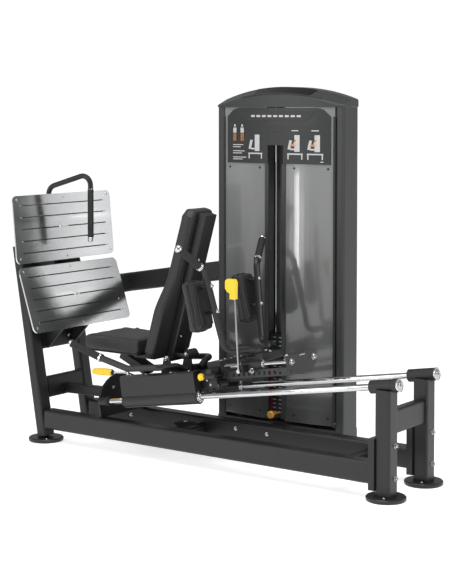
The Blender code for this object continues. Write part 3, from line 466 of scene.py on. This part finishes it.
# Shields: two sheets of smoked plastic, polished and bowed with the tower, with an open slot
# between them. Their colour is painted light and shade: near black at the foot, grey higher up.
smoked, smoked_shader, smoked_place = new_finish("smoked_sheet", 0.16, Coat_Weight=0.6,
                                                 Coat_Roughness=0.06)
haze = smoked_place.stretched((5.0, 1.0, 1.1)).noise(1.0, 2.0)
height_up = smoked_place.node("SeparateXYZ", {}, {"Vector": smoked_place}, 2)
# Painted light and shade: the sheets' colour pales with height, standing in for reflections and the
# lit stack behind.
painted_light_by_height = height_up.node("MapRange", {"interpolation_type": "SMOOTHSTEP"},
                      {"Value": height_up, "From Min": 0.25, "From Max": 1.45})
feed(smoked_shader, Base_Color=(haze * 0.5 + painted_light_by_height * 0.5).blend((0.012, 0.0125, 0.0125),
                                                               (0.215, 0.220, 0.216)),
     Roughness=smoked_place.noise(8.0, 3.0) * 0.10 + 0.12)
finish_nodes(smoked, "tower_left_shield", "tower_right_shield")

# Liner: a light grey painted sheet that stands behind the weight stack and its rods. It shows
# through the slot and keeps the inside of the tower from looking black.
liner_grey = powder_coat("liner_grey_paint", (0.30, 0.305, 0.31), 0.45)
stack_liner = bmesh.new()
block(stack_liner, (0.660, 0.0015, 1.600), Matrix.Translation(spot(TOWER_X, 0.5600, 0.930)), 0.0004)
finished("stack_liner", stack_liner, liner_grey, "frame")

# Slot edges: painted steel strips on both sides of the slot, black rubber seals down the sheets'
# outer edges that also paint the shadow line there, and the screws that hold the sheets.
edge_strips = bmesh.new()
for left, right in ((-0.0630, -0.0405), (0.0405, 0.0600)):
    bowed_panel(edge_strips, left, right, lambda x: 1.4515, lambda x: 0.150, 0.0006, 0.0050, 4)
finished("slot_edge_strips", edge_strips, graphite_coat, "frame")
# Painted shadow: black strips down the sheets' outer edges, which are seals and also stand in for
# the dark shadow line there.
shadow_strips = bmesh.new()
bowed_panel(shadow_strips, 0.3300, 0.3420, lambda x: 1.690, lambda x: 0.135, -0.0005, 0.0035, 4)
bowed_panel(shadow_strips, -0.3420, -0.3330, lambda x: 1.690, lambda x: 0.135, -0.0005, 0.0035, 4)
finished("shield_seal_shadow_strips", shadow_strips, black_rubber, "frame")
shield_screws = bmesh.new()
for x in (-0.300, -0.100, 0.110, 0.300):
    for height in (0.175, 1.430):
        bolt(shield_screws, spot(TOWER_X + x, tower_front(x, -0.006), height), (0, -1, 0), 0.0045)
finished("shield_screws", shield_screws, black_coat, "frame")


# Instruction board: a printed panel with a banner, two plain figures, and small pictures of the
# machine in use. It carries no words; pale bars stand where a caption would be.
print_base, print_shader, print_place = new_finish("board_print", 0.44, Coat_Weight=0.05,
                                                   Specular_IOR_Level=0.35)
feed(print_shader, Base_Color=print_place.noise(3.0, 2.0).blend((0.014, 0.0148, 0.0155),
                                                              (0.021, 0.022, 0.023)),
     Roughness=print_place.noise(60.0, 3.0) * 0.10 + 0.34)
finish_nodes(print_base, "instruction_board")


def ink(name, dark, light):
    made, shader, place = new_finish(name, 0.45)
    feed(shader, Base_Color=place.noise(80.0, 2.0).blend(dark, light),
         Roughness=place.noise(120.0, 2.0) * 0.10 + 0.40)
    return made


white_ink = ink("white_ink", (0.36, 0.36, 0.35), (0.48, 0.48, 0.47))
orange_ink = ink("orange_ink", (0.40, 0.14, 0.04), (0.50, 0.19, 0.06))
banner_ink = ink("banner_ink", (0.008, 0.0085, 0.009), (0.012, 0.0125, 0.013))


def print_bar(bm, x, z, width, height, lean=0.0):
    """A small printed bar on the board, which may lean sideways from bottom to top."""
    steps = max(1, round(width / 0.02))
    faces = bowed_panel(bm, x - width / 2, x + width / 2, lambda at: z + height / 2,
                        lambda at: z - height / 2, 0.0006, 0.0006, steps)
    for vert in {vert for face in faces for vert in face.verts}:
        vert.co.x += lean * (vert.co.z - z)


banner = bmesh.new()
bowed_panel(banner, -0.232, 0.232, lambda x: 1.7170,
            lambda x: 1.6690 + 0.048 * max(0.0, (abs(x) - 0.190) / 0.042), 0.0002, 0.0005, 40)
finished("board_banner", banner, banner_ink, "frame")

pale_print, warm_print = bmesh.new(), bmesh.new()
for step in range(9):
    print_bar(pale_print, -0.140 + 0.035 * step, 1.6930, 0.024, 0.0100)
for left in (-0.262, -0.212):
    print_bar(pale_print, left, 1.6440, 0.010, 0.012)
    print_bar(pale_print, left, 1.6200, 0.022, 0.026)
    for leg in (-0.006, 0.006):
        print_bar(warm_print, left + leg, 1.5840, 0.0060, 0.038)
for row, width in ((1.5450, 0.070), (1.5340, 0.052), (1.5130, 0.078), (1.5020, 0.060),
                   (1.4810, 0.090), (1.4710, 0.066)):
    print_bar(pale_print, -0.274 + width / 2, row, width, 0.0045)
for middle in (-0.125, 0.118, 0.232):
    print_bar(pale_print, middle + 0.012, 1.5560, 0.030, 0.084)
    print_bar(pale_print, middle - 0.030, 1.5480, 0.016, 0.046, 0.25)
    print_bar(pale_print, middle, 1.5020, 0.090, 0.007)
    print_bar(pale_print, middle + 0.040, 1.4900, 0.007, 0.030)
    print_bar(pale_print, middle - 0.040, 1.4900, 0.007, 0.030)
    print_bar(pale_print, middle - 0.008, 1.5260, 0.040, 0.008)
for middle in (0.118, 0.232):
    print_bar(warm_print, middle - 0.012, 1.5460, 0.036, 0.0100)
    print_bar(warm_print, middle - 0.004, 1.5600, 0.010, 0.028, 0.6)
    print_bar(pale_print, middle, 1.6200, 0.040, 0.0050)
print_bar(pale_print, 0.270, 1.4640, 0.016, 0.0050)
finished("board_pale_print", pale_print, white_ink, "frame")
finished("board_warm_print", warm_print, orange_ink, "frame")
notch_plate = bmesh.new()
bowed_panel(notch_plate, -0.0475, 0.0475, lambda x: 1.6125, lambda x: 1.5450, -0.0020, 0.0030, 6)
finished("slot_head_plate", notch_plate, banner_ink, "frame")


# Weight stack: iron weights on two chromed rods. The lifting stem and its cable stand in the
# middle, and paper strips on the weights' fronts are green high up and red low down.
stack_iron, iron_shader, iron_place = new_finish("stack_iron", 0.55, 0.3)
iron_grain = iron_place.noise(300.0, 3.0)
feed(iron_shader, Base_Color=iron_place.noise(9.0, 3.0).blend((0.016, 0.016, 0.017),
                                                            (0.034, 0.034, 0.035)),
     Roughness=iron_grain * 0.25 + 0.42, Normal=iron_grain.relief(0.25, 0.0006))
finish_nodes(stack_iron, "lifted_weights", "resting_weights")
finish_nodes(chrome, "left_stack_rod", "right_stack_rod")

green_label = ink("green_label", (0.006, 0.080, 0.034), (0.010, 0.110, 0.048))
red_label = ink("red_label", (0.20, 0.006, 0.010), (0.27, 0.010, 0.014))
WEIGHT_PITCH, WEIGHT_FOOT, STACK_MIDDLE = 0.0215, 0.1355, 0.505
green_strips, red_strips, weight_marks = bmesh.new(), bmesh.new(), bmesh.new()
for index in range(1, 20):
    middle = WEIGHT_FOOT + (index + 0.45) * WEIGHT_PITCH
    strips = green_strips if index > 11 else red_strips
    block(strips, (0.016, 0.0008, 0.0160), Matrix.Translation(spot(TOWER_X - 0.064, 0.4595,
                                                                   middle)), 0.0)
    for x, width in ((-0.044, 0.018), (-0.008, 0.020)):
        block(weight_marks, (width, 0.0008, 0.0050),
              Matrix.Translation(spot(TOWER_X + x, 0.4594, middle)), 0.0)
finished("green_stack_labels", green_strips, green_label, "weight_stack")
finished("red_stack_labels", red_strips, red_label, "weight_stack")
finished("stack_marks", weight_marks, white_ink, "weight_stack")

stem = bmesh.new()
stack_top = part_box("lifted_weights")[1].z
stem_foot = spot(TOWER_X, STACK_MIDDLE, stack_top)
spin_profile(stem, ((0.0, -0.001), (0.020, -0.001), (0.020, 0.012), (0.013, 0.016),
                    (0.013, 0.058), (0.009, 0.064), (0.0, 0.064)), facing(stem_foot, (0, 0, 1)))
finished("lifting_stem", stem, black_coat, "weight_stack")
cable = bmesh.new()
cable_low, cable_high = stack_top + 0.062, 1.700
bmesh.ops.create_cone(cable, segments=14, radius1=0.0032, radius2=0.0032, cap_ends=True,
                      depth=cable_high - cable_low,
                      matrix=Matrix.Translation(spot(TOWER_X, 0.505,
                                                     (cable_low + cable_high) / 2)))
bmesh.ops.subdivide_edges(cable, cuts=8, edges=[e for e in cable.edges
                                                if abs((e.verts[0].co - e.verts[1].co).z) > 0.1])
steel_cable, cable_shader, cable_place = new_finish("nylon_coated_cable", 0.30, 0.9)
strands = cable_place.stretched((1.0, 1.0, 260.0)).noise(1.0, 1.0)
feed(cable_shader, Base_Color=strands.blend((0.35, 0.35, 0.34), (0.60, 0.60, 0.58)),
     Roughness=strands * 0.2 + 0.2)
lift_cable = finished("lift_cable", cable, steel_cable, "frame")
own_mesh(lift_cable)


def moulded(name, dark, light, roughness):
    made, shader, place = new_finish(name, roughness, Coat_Weight=0.15)
    mottle, pores = place.noise(22.0, 3.0), place.noise(600.0, 2.0)
    feed(shader, Base_Color=mottle.blend(dark, light), Roughness=mottle * 0.14 + roughness - 0.07,
         Normal=pores.relief(0.12, 0.0004))
    return made


amber_plastic = moulded("amber_knob_plastic", (0.62, 0.30, 0.035), (0.74, 0.38, 0.05), 0.40)
finish_nodes(amber_plastic, "selector_pin")


# Base pulley: a moulded cover over the wheel that leads the cable below the carriage.
finish_nodes(black_rubber, "base_pulley")
pulley_trim = bmesh.new()
bolt(pulley_trim, spot(-1.250, 0.0, 0.1644), (0, 0, 1), 0.0080)
finished("pulley_bolt", pulley_trim, chrome, "base_pulley")


# Carriage: two bent-sheet bearing housings welded to a deck plate. Bright seal rings wipe the
# rods at the housings' ends, and small cap bolts hold the bearings.
finish_nodes(black_coat, "near_bearing_housing", "far_bearing_housing", "carriage_deck",
             "seat_support", "slide_block", "pad_carrier", "near_pad_arm", "far_pad_arm",
             "near_side_handle", "far_side_handle")
finish_nodes(chrome, "near_slide_rod", "far_slide_rod", "backrest_pivot_pin")
finish_nodes(graphite_coat, "slide_end_plate")
up_ramp = on_ramp(1, 0, 0) - on_ramp(0, 0, 0)
off_ramp = on_ramp(0, 0, 1) - on_ramp(0, 0, 0)
seal_rings, housing_bolts = bmesh.new(), bmesh.new()
for side in (-1.0, 1.0):
    y = side * HALF_GAUGE
    for along, way in ((-1.0427, 1.0), (-1.5083, -1.0)):
        spin_profile(seal_rings, ((0.0158, 0.0), (0.0290, 0.0), (0.0300, 0.0015), (0.0300, 0.0045),
                                  (0.0285, 0.0060), (0.0225, 0.0060), (0.0215, 0.0110),
                                  (0.0175, 0.0120), (0.0158, 0.0110), (0.0158, 0.0)),
                     facing(on_ramp(along, y, 0.0), way * up_ramp), 32)
        if way < 0.0:
            for height in (0.060, 0.100):
                bolt(housing_bolts, on_ramp(along, y, height), way * up_ramp, 0.0050)
    for along in (-1.460, -1.360, -1.200, -1.090):
        bolt(housing_bolts, on_ramp(along, y, 0.1238), off_ramp, 0.0055)
finished("rod_seal_rings", seal_rings, chrome, "carriage")
finished("housing_bolts", housing_bolts, chrome, "carriage")

deck_parts, deck_bolts = bmesh.new(), bmesh.new()
block(deck_parts, (0.090, 0.006, 0.050), RAMP @ Matrix.Translation((-0.990, -0.1500, 0.060)))
block(deck_parts, (0.012, 0.060, 0.070), RAMP @ Matrix.Translation((-1.010, -0.118, 0.050)))
spin_profile(deck_parts, ((0.0, -0.030), (0.022, -0.030), (0.024, -0.028), (0.024, 0.028),
                          (0.022, 0.030), (0.012, 0.030), (0.011, 0.022), (0.0, 0.022)),
             facing(on_ramp(-0.960, -0.105, 0.045), (0, -1, 0)), 28)
block(deck_parts, (0.040, 0.200, 0.012), RAMP @ Matrix.Translation((-0.965, 0.0, 0.0780)))
block(deck_parts, (0.130, 0.008, 0.045), RAMP @ Matrix.Translation((-0.960, 0.060, 0.060)))
finished("deck_brackets", deck_parts, black_coat, "carriage")
for x, height in ((-1.005, 0.072), (-0.985, 0.050)):
    bolt(deck_bolts, on_ramp(x, -0.1531, height), (0, -1, 0), 0.0045)
bolt(deck_bolts, on_ramp(-0.960, -0.1335, 0.045), (0, -1, 0), 0.0080, 0.003)
for along, across in ((-1.430, 0.055), (-1.430, -0.055), (-1.360, 0.060), (-1.360, -0.060),
                      (-1.130, 0.100), (-1.130, -0.100), (-1.040, 0.100)):
    bolt(deck_bolts, on_ramp(along, across, 0.0970), off_ramp, 0.0062)
for side in (-1.0, 1.0):
    bolt(deck_bolts, spot(-1.300, side * 0.0895, 0.487), (0, side, 0), 0.0105, 0.004)
finished("deck_bolts", deck_bolts, chrome, "carriage")


# Side handles: bent tubes beside the seat, each with a ribbed rubber grip between a chromed
# collar and a chromed end cap.
def ribbed_grip(bm, start, end, radius, ribs):
    """Rubber sleeve with rings turned in it, from start to end."""
    length = (end - start).length
    pitch = (length - 0.006) / ribs
    profile = [(radius - 0.0020, 0.0), (radius - 0.0004, 0.001)]
    for step in range(ribs):
        base = 0.003 + step * pitch
        profile += [(radius, base), (radius, base + 0.68 * pitch),
                    (radius - 0.0007, base + 0.78 * pitch), (radius - 0.0007, base + 0.92 * pitch)]
    profile += [(radius - 0.0004, length - 0.001), (radius - 0.0020, length),
                (radius - 0.0020, 0.0)]
    spin_profile(bm, profile, facing(start, end - start), 28)


def collar(bm, place, direction, inner, outer, length):
    spin_profile(bm, ((inner, 0.0), (outer - 0.0008, 0.0), (outer, 0.0010),
                      (outer, 0.42 * length), (outer - 0.0012, 0.5 * length),
                      (outer, 0.58 * length), (outer, length - 0.0010),
                      (outer - 0.0008, length), (inner, length), (inner, 0.0)),
                 facing(place, direction), 28)


side_grips, side_trim = bmesh.new(), bmesh.new()
for side in (-1.0, 1.0):
    tip, root = spot(-1.779, side * 0.260, 0.544), spot(-1.594, side * 0.240, 0.483)
    outward = (tip - root).normalized()
    ribbed_grip(side_grips, root + outward * 0.012, tip - outward * 0.004, 0.0190, 22)
    collar(side_trim, root, outward, 0.0166, 0.0212, 0.012)
    spin_profile(side_trim, ((0.0, 0.011), (0.0070, 0.0105), (0.0140, 0.0075), (0.0185, 0.0030),
                             (0.0196, -0.0010), (0.0196, -0.0050), (0.0185, -0.0060),
                             (0.0, -0.0060)), facing(tip + outward * 0.0005, outward), 28)
finished("side_handle_grips", side_grips, black_rubber, "carriage")
finished("side_handle_trim", side_trim, chrome, "carriage")


# Upholstery: dense foam under black vinyl with a fine leather grain. Each pad is blown up a
# little against its own cover, then its seams are pressed in.
vinyl, vinyl_shader, vinyl_place = new_finish("black_vinyl", 0.46, Sheen_Weight=0.08,
                                              Sheen_Roughness=0.5, Specular_IOR_Level=0.45)
pebbles = vinyl_place.node("TexVoronoi", {"feature": "F1"}, {"Vector": vinyl_place, "Scale": 420.0})
vinyl_clouds = vinyl_place.noise(7.0, 3.0)
feed(vinyl_shader, Base_Color=vinyl_clouds.blend((0.0065, 0.0065, 0.007), (0.0110, 0.0110, 0.0115)),
     Roughness=vinyl_clouds * 0.12 + pebbles * 0.10 + 0.36,
     Normal=(pebbles + vinyl_place.noise(160.0, 3.0) * 0.6).relief(0.22, 0.0009))


def stuffed(name, bm, cap, cell=0.006):
    """Object whose cover has swelled by at most cap, with twice as fine a mesh as its cells."""
    data = bpy.data.meshes.new(name)
    bmesh.ops.recalc_face_normals(bm, faces=bm.faces)
    bm.to_mesh(data)
    bm.free()
    item = bpy.data.objects.new(name, data)
    scene = bpy.context.scene
    scene.collection.objects.link(item)
    remesh = item.modifiers.new("cells", "REMESH")
    remesh.mode, remesh.voxel_size = "VOXEL", cell
    graph = bpy.context.evaluated_depsgraph_get()
    even = bpy.data.meshes.new_from_object(item.evaluated_get(graph))
    item.modifiers.clear()
    item.data = even
    flat = [vert.co.copy() for vert in even.vertices]
    cloth = item.modifiers.new("cover", "CLOTH")
    cloth.settings.use_pressure = True
    cloth.settings.uniform_pressure_force = 4.0
    cloth.settings.effector_weights.gravity = 0.0
    scene.frame_end = 20
    for step in range(1, 21):
        scene.frame_set(step)
    swelled = item.evaluated_get(bpy.context.evaluated_depsgraph_get()).to_mesh()
    places = [vert.co.copy() for vert in swelled.vertices]
    item.modifiers.clear()
    scene.frame_set(1)
    for vert, start, end in zip(even.vertices, flat, places):
        move = end - start
        vert.co = start + move * min(1.0, cap / max(move.length, 0.00001))
    fine = bmesh.new()
    fine.from_mesh(even)
    bmesh.ops.smooth_vert(fine, verts=fine.verts, factor=0.5, use_axis_x=True, use_axis_y=True,
                          use_axis_z=True)
    bmesh.ops.subdivide_edges(fine, edges=fine.edges, cuts=1, use_grid_fill=True, smooth=0.6)
    fine.normal_update()
    return item, fine


def press(fine, offset, width, depth):
    """Presses a seam into the cover where offset(vertex) is near nought."""
    moves = [(vert, vert.normal * -depth * math.exp(-(offset(vert) / width) ** 2))
             for vert in fine.verts]
    for vert, move in moves:
        vert.co += move


def upholstered(item, fine, place, node, body):
    """Puts a pad's finished cover in its place, on its body, instead of the plain solid."""
    bmesh.ops.transform(fine, matrix=place, verts=fine.verts)
    for face in fine.faces:
        face.smooth = True
    fine.to_mesh(item.data)
    fine.free()
    item.data.materials.clear()
    item.data.materials.append(vinyl)
    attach(item, body)
    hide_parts(node)


# Seat: a flat cushion on a steel board, with a sewn seam round its upper edge.
seat_shape = bmesh.new()
block(seat_shape, (0.357, 0.332, 0.071), Matrix.Identity(4), 0.014, 4)
seat, seat_cover = stuffed("seat_cushion", seat_shape, 0.0045)
press(seat_cover, lambda v: v.co.z - 0.0215 if abs(v.normal.z) < 0.55 else 1.0, 0.0030, 0.0016)
press(seat_cover, lambda v: v.co.z + 0.0270 if abs(v.normal.z) < 0.55 else 1.0, 0.0030, 0.0014)
upholstered(seat, seat_cover, Matrix.Translation(spot(-1.6005, 0.0, 0.5415)), "seat_pad", "seat")
seat_board = bmesh.new()
block(seat_board, (0.320, 0.290, 0.0066), Matrix.Translation(spot(-1.6005, 0.0, 0.4990)), 0.002)
for across in (-0.048, 0.048):
    block(seat_board, (0.120, 0.005, 0.030),
          Matrix.Translation(spot(-1.480, across, 0.4825)), 0.001)
finished("seat_board", seat_board, black_coat, "seat")


# Yellow plastic: the seat lever's grip, the lock knob and the release handle. Their steel stems
# are part of the same bodies, so one finish turns from plastic to bright steel at a plane.
def grip_and_stem(name, axis, level):
    """Yellow plastic, and steel where a point's distance along axis is above level."""
    made, shader, place = new_finish(name, 0.4, Coat_Weight=0.10)
    along = place.node("VectorMath", {"operation": "DOT_PRODUCT"}, {0: place, 1: axis}, "Value")
    steel, mottle = along.above(level), place.noise(18.0, 3.0)
    yellow = mottle.blend((0.80, 0.52, 0.006), (0.92, 0.63, 0.012))
    bright = mottle.blend((0.30, 0.30, 0.30), (0.45, 0.45, 0.45))
    feed(shader, Base_Color=steel.blend(yellow, bright), Metallic=steel,
         Roughness=mottle * 0.12 + 0.32 - steel * 0.10,
         Normal=place.noise(500.0, 2.0).relief(0.10, 0.0004))
    return made


finish_nodes(grip_and_stem("seat_lever_finish", (1.0, 0.0, 0.0), spot(-1.602, 0, 0).x),
             "seat_lever")
finish_nodes(grip_and_stem("lock_pin_finish", up_ramp, on_ramp(-0.9920, -0.185, 0.093) @ up_ramp),
             "lock_pin")
finish_nodes(grip_and_stem("release_lever_finish", (0.0, 0.0, -1.0), -0.8270), "release_lever")
grip_trim = bmesh.new()
spin_profile(grip_trim, ((0.0052, 0.0), (0.0115, 0.0), (0.0120, 0.002), (0.0090, 0.008),
                         (0.0052, 0.009), (0.0052, 0.0)),
             facing(spot(-1.6010, -0.1500, 0.3980), (1.0, 0.22, 0.04)), 20)
finished("seat_lever_ferrule", grip_trim, black_rubber, "seat_lever")
lever_pivots = bmesh.new()
bolt(lever_pivots, spot(-0.812, -0.1622, 0.486), (0, -1, 0), 0.0075)
finished("release_lever_bolt", lever_pivots, chrome, "release_lever")
seat_pivot = bmesh.new()
bolt(seat_pivot, spot(-1.512, -0.1355, 0.402), (0, -1, 0), 0.0080)
finished("seat_lever_bolt", seat_pivot, chrome, "seat_lever")


# Backrest: a long tapering cushion, broad at the hips and narrow between the shoulder pads, on
# a steel spine with two screws and a rubber stop that lands on the deck.
BACK_FOOT, BACK_HEAD = Vector((-1.407, 0.0, 0.490)), Vector((-1.191, 0.0, 1.250))
back_up = (BACK_HEAD - BACK_FOOT).normalized()
back_out = Vector((-back_up.z, 0.0, back_up.x))
back_turn = Matrix((back_out, back_up.cross(back_out), back_up)).transposed().to_4x4()
BACK_PLACE = Matrix.Translation(spot(*BACK_FOOT)) @ back_turn
BACK_LENGTH = (BACK_HEAD - BACK_FOOT).length

back_shape = bmesh.new()
bmesh.ops.create_grid(back_shape, x_segments=8, y_segments=24, size=0.5)


def back_half_width(up):
    """Half the backrest's width at a height above its foot."""
    if up < 0.030:
        return 0.132 + 0.030 * up / 0.030
    if up < 0.240:
        return 0.162
    if up < 0.445:
        share = (up - 0.240) / 0.205
        return 0.162 - 0.051 * (share * share * (3.0 - 2.0 * share))
    if up < BACK_LENGTH - 0.035:
        return 0.111 - 0.005 * (up - 0.445) / (BACK_LENGTH - 0.480)
    return 0.106 - 0.030 * (up - BACK_LENGTH + 0.035) / 0.035


for vert in back_shape.verts:
    up = 0.003 + (vert.co.y + 0.5) * (BACK_LENGTH - 0.006)
    vert.co = (-0.003, vert.co.x * 2.0 * (back_half_width(up) - 0.004), up)
bmesh.ops.recalc_face_normals(back_shape, faces=back_shape.faces)
if list(back_shape.faces)[0].normal.x < 0:
    bmesh.ops.reverse_faces(back_shape, faces=back_shape.faces)
bmesh.ops.solidify(back_shape, geom=back_shape.faces, thickness=0.059)
if min(vert.co.x for vert in back_shape.verts) > -0.05:
    bmesh.ops.translate(back_shape, vec=(-0.059, 0.0, 0.0), verts=back_shape.verts)
back_rim = [edge for edge in back_shape.edges if edge.calc_face_angle(0.0) > 1.2]
bmesh.ops.bevel(back_shape, geom=back_rim, offset=0.013, segments=3, affect="EDGES", profile=0.5,
                material=-1)
backrest, back_cover = stuffed("backrest_cushion", back_shape, 0.0040)
press(back_cover, lambda v: v.co.x + 0.0180 if abs(v.normal.x) < 0.6 else 1.0, 0.0030, 0.0016)
press(back_cover, lambda v: v.co.x + 0.0500 if abs(v.normal.x) < 0.6 else 1.0, 0.0030, 0.0016)
upholstered(backrest, back_cover, BACK_PLACE, "backrest_pad", "backrest")

finish_nodes(black_coat, "backrest_frame")
back_screws, back_stop = bmesh.new(), bmesh.new()
behind = BACK_PLACE.to_3x3() @ Vector((-1, 0, 0))
for up in (0.140, 0.545):
    bolt(back_screws, BACK_PLACE @ Vector((-0.1106, 0.018, up)), behind, 0.0060)
finished("backrest_screws", back_screws, chrome, "backrest")
stop = spot(-1.215, 0.0, 0.512)
spin_profile(back_stop, ((0.0, -0.034), (0.020, -0.034), (0.0235, -0.030), (0.0235, 0.030),
                         (0.020, 0.034), (0.0, 0.034)), facing(stop, (0, 1, 0)), 32)
finished("backrest_stop_roller", back_stop, black_rubber, "backrest")
stop_arms = bmesh.new()
for across in (-0.040, 0.040):
    block(stop_arms, (0.100, 0.006, 0.022), facing(spot(-1.248, across, 0.505), (0, 1, 0))
          @ Matrix.Rotation(math.radians(90.0), 4, "X"), 0.001)
finished("backrest_stop_arms", stop_arms, black_coat, "backrest")
stop_axle = bmesh.new()
bolt(stop_axle, stop + Vector((0.0, -0.0430, 0.0)), (0, -1, 0), 0.0075, 0.002)
finished("backrest_stop_bolt", stop_axle, chrome, "backrest")


# Shoulder pads: two foam layers under one cover, with a deep fold between them, on a backing
# board that two stubs and nuts hold to the arm.
PAD_TILT = Matrix.Rotation(math.radians(-13.0), 4, "Y")
pad_boards, pad_nuts = bmesh.new(), bmesh.new()
for label, side in (("near", -1.0), ("far", 1.0)):
    pad_place = Matrix.Translation(spot(-1.024, side * 0.200, 0.785)) @ PAD_TILT
    pad_shape = bmesh.new()
    block(pad_shape, (0.069, 0.122, 0.242), Matrix.Identity(4), 0.017, 4)
    pad, cover = stuffed(label + "_shoulder_cushion", pad_shape, 0.0040, 0.0045)
    for vert in cover.verts:
        if vert.co.x > 0.008:
            vert.co.y *= 0.955
            vert.co.z *= 0.975
    press(cover, lambda v: v.co.x - 0.008, 0.0052, 0.0085)
    upholstered(pad, cover, pad_place, label + "_shoulder_pad", "pad_carrier")
    block(pad_boards, (0.005, 0.090, 0.190), pad_place @ Matrix.Translation((0.0402, 0, 0)), 0.0015)
    back = pad_place.to_3x3() @ Vector((1, 0, 0))
    for height, reach in ((0.082, 0.064), (-0.042, 0.060)):
        root = pad_place @ Vector((0.042, side * (0.0 if height > 0 else -0.016), height))
        spin_profile(pad_boards, ((0.0, 0.0), (0.0085, 0.0), (0.0085, reach - 0.001),
                                  (0.0075, reach), (0.0, reach)), facing(root, back), 16)
        bolt(pad_nuts, root + back * (reach - 0.0002), back, 0.0078, 0.003)
finished("pad_backing_boards", pad_boards, black_coat, "pad_carrier")
finished("pad_nuts", pad_nuts, chrome, "pad_carrier")

arm_grips, arm_trim = bmesh.new(), bmesh.new()
for side in (-1.0, 1.0):
    root, tip = spot(-0.968, side * 0.216, 0.958), spot(-1.025, side * 0.352, 1.075)
    outward = (tip - root).normalized()
    ribbed_grip(arm_grips, root + outward * 0.042, tip - outward * 0.006, 0.0186, 18)
    collar(arm_trim, root + outward * 0.028, outward, 0.0166, 0.0212, 0.014)
    spin_profile(arm_trim, ((0.0, 0.0170), (0.0075, 0.0158), (0.0140, 0.0118), (0.0183, 0.0060),
                            (0.0200, 0.0000), (0.0200, -0.0060), (0.0180, -0.0090),
                            (0.0, -0.0090)), facing(tip - outward * 0.003, outward), 32)
finished("arm_grips", arm_grips, black_rubber, "pad_carrier")
finished("arm_grip_trim", arm_trim, chrome, "pad_carrier")


# Pad slide: a carrier whose sleeves run on two short chromed rods between the slide block and
# a rounded end plate. A folded hood covers the carrier, and bright rings end its sleeves.
sleeve_rings, hood, slide_bolts = bmesh.new(), bmesh.new(), bmesh.new()
for side in (-1.0, 1.0):
    y = side * 0.096
    for along, way in ((-0.8182, -1.0), (-0.6998, 1.0)):
        spin_profile(sleeve_rings, ((0.0108, 0.0), (0.0195, 0.0), (0.0205, 0.0012),
                                    (0.0205, 0.0042), (0.0190, 0.0055), (0.0140, 0.0055),
                                    (0.0108, 0.0050), (0.0108, 0.0)),
                     facing(on_ramp(along, y, 0.128), way * up_ramp), 28)
    bolt(slide_bolts, on_ramp(-0.5419, y, 0.128), up_ramp, 0.0125, 0.003)
finished("sleeve_rings", sleeve_rings, chrome, "pad_carrier")
block(slide_bolts, (0.0030, 0.050, 0.0050), RAMP @ Matrix.Translation((-0.5408, 0.0, 0.150)), 0.001)
for along in (-0.955, -0.995):
    for across in (-0.085, 0.0, 0.085):
        bolt(slide_bolts, on_ramp(along, across, 0.1553), off_ramp, 0.0052)
finished("slide_bolts", slide_bolts, chrome, "carriage")
HOOD_MIDDLE, HOOD_FOLD = -0.752, 0.160
block(hood, (0.102, 0.214, 0.040), RAMP @ Matrix.Translation((HOOD_MIDDLE, 0.0, 0.1560)), 0.006, 3)
for vert in hood.verts:
    local = RAMP.inverted() @ vert.co
    if local.z > HOOD_FOLD:
        local.y *= 0.80
        local.x = HOOD_MIDDLE + (local.x - HOOD_MIDDLE) * 0.86
        vert.co = RAMP @ local
finished("carrier_hood", hood, black_coat, "pad_carrier")
hood_studs = bmesh.new()
for along, across in ((-0.785, -0.060), (-0.785, 0.060), (-0.720, 0.0)):
    bolt(hood_studs, on_ramp(along, across, 0.1762), off_ramp, 0.0065)
bolt(hood_studs, on_ramp(-0.757, -0.1174, 0.100), (0, -1, 0), 0.0090, 0.010)
finished("hood_bolts", hood_studs, chrome, "pad_carrier")
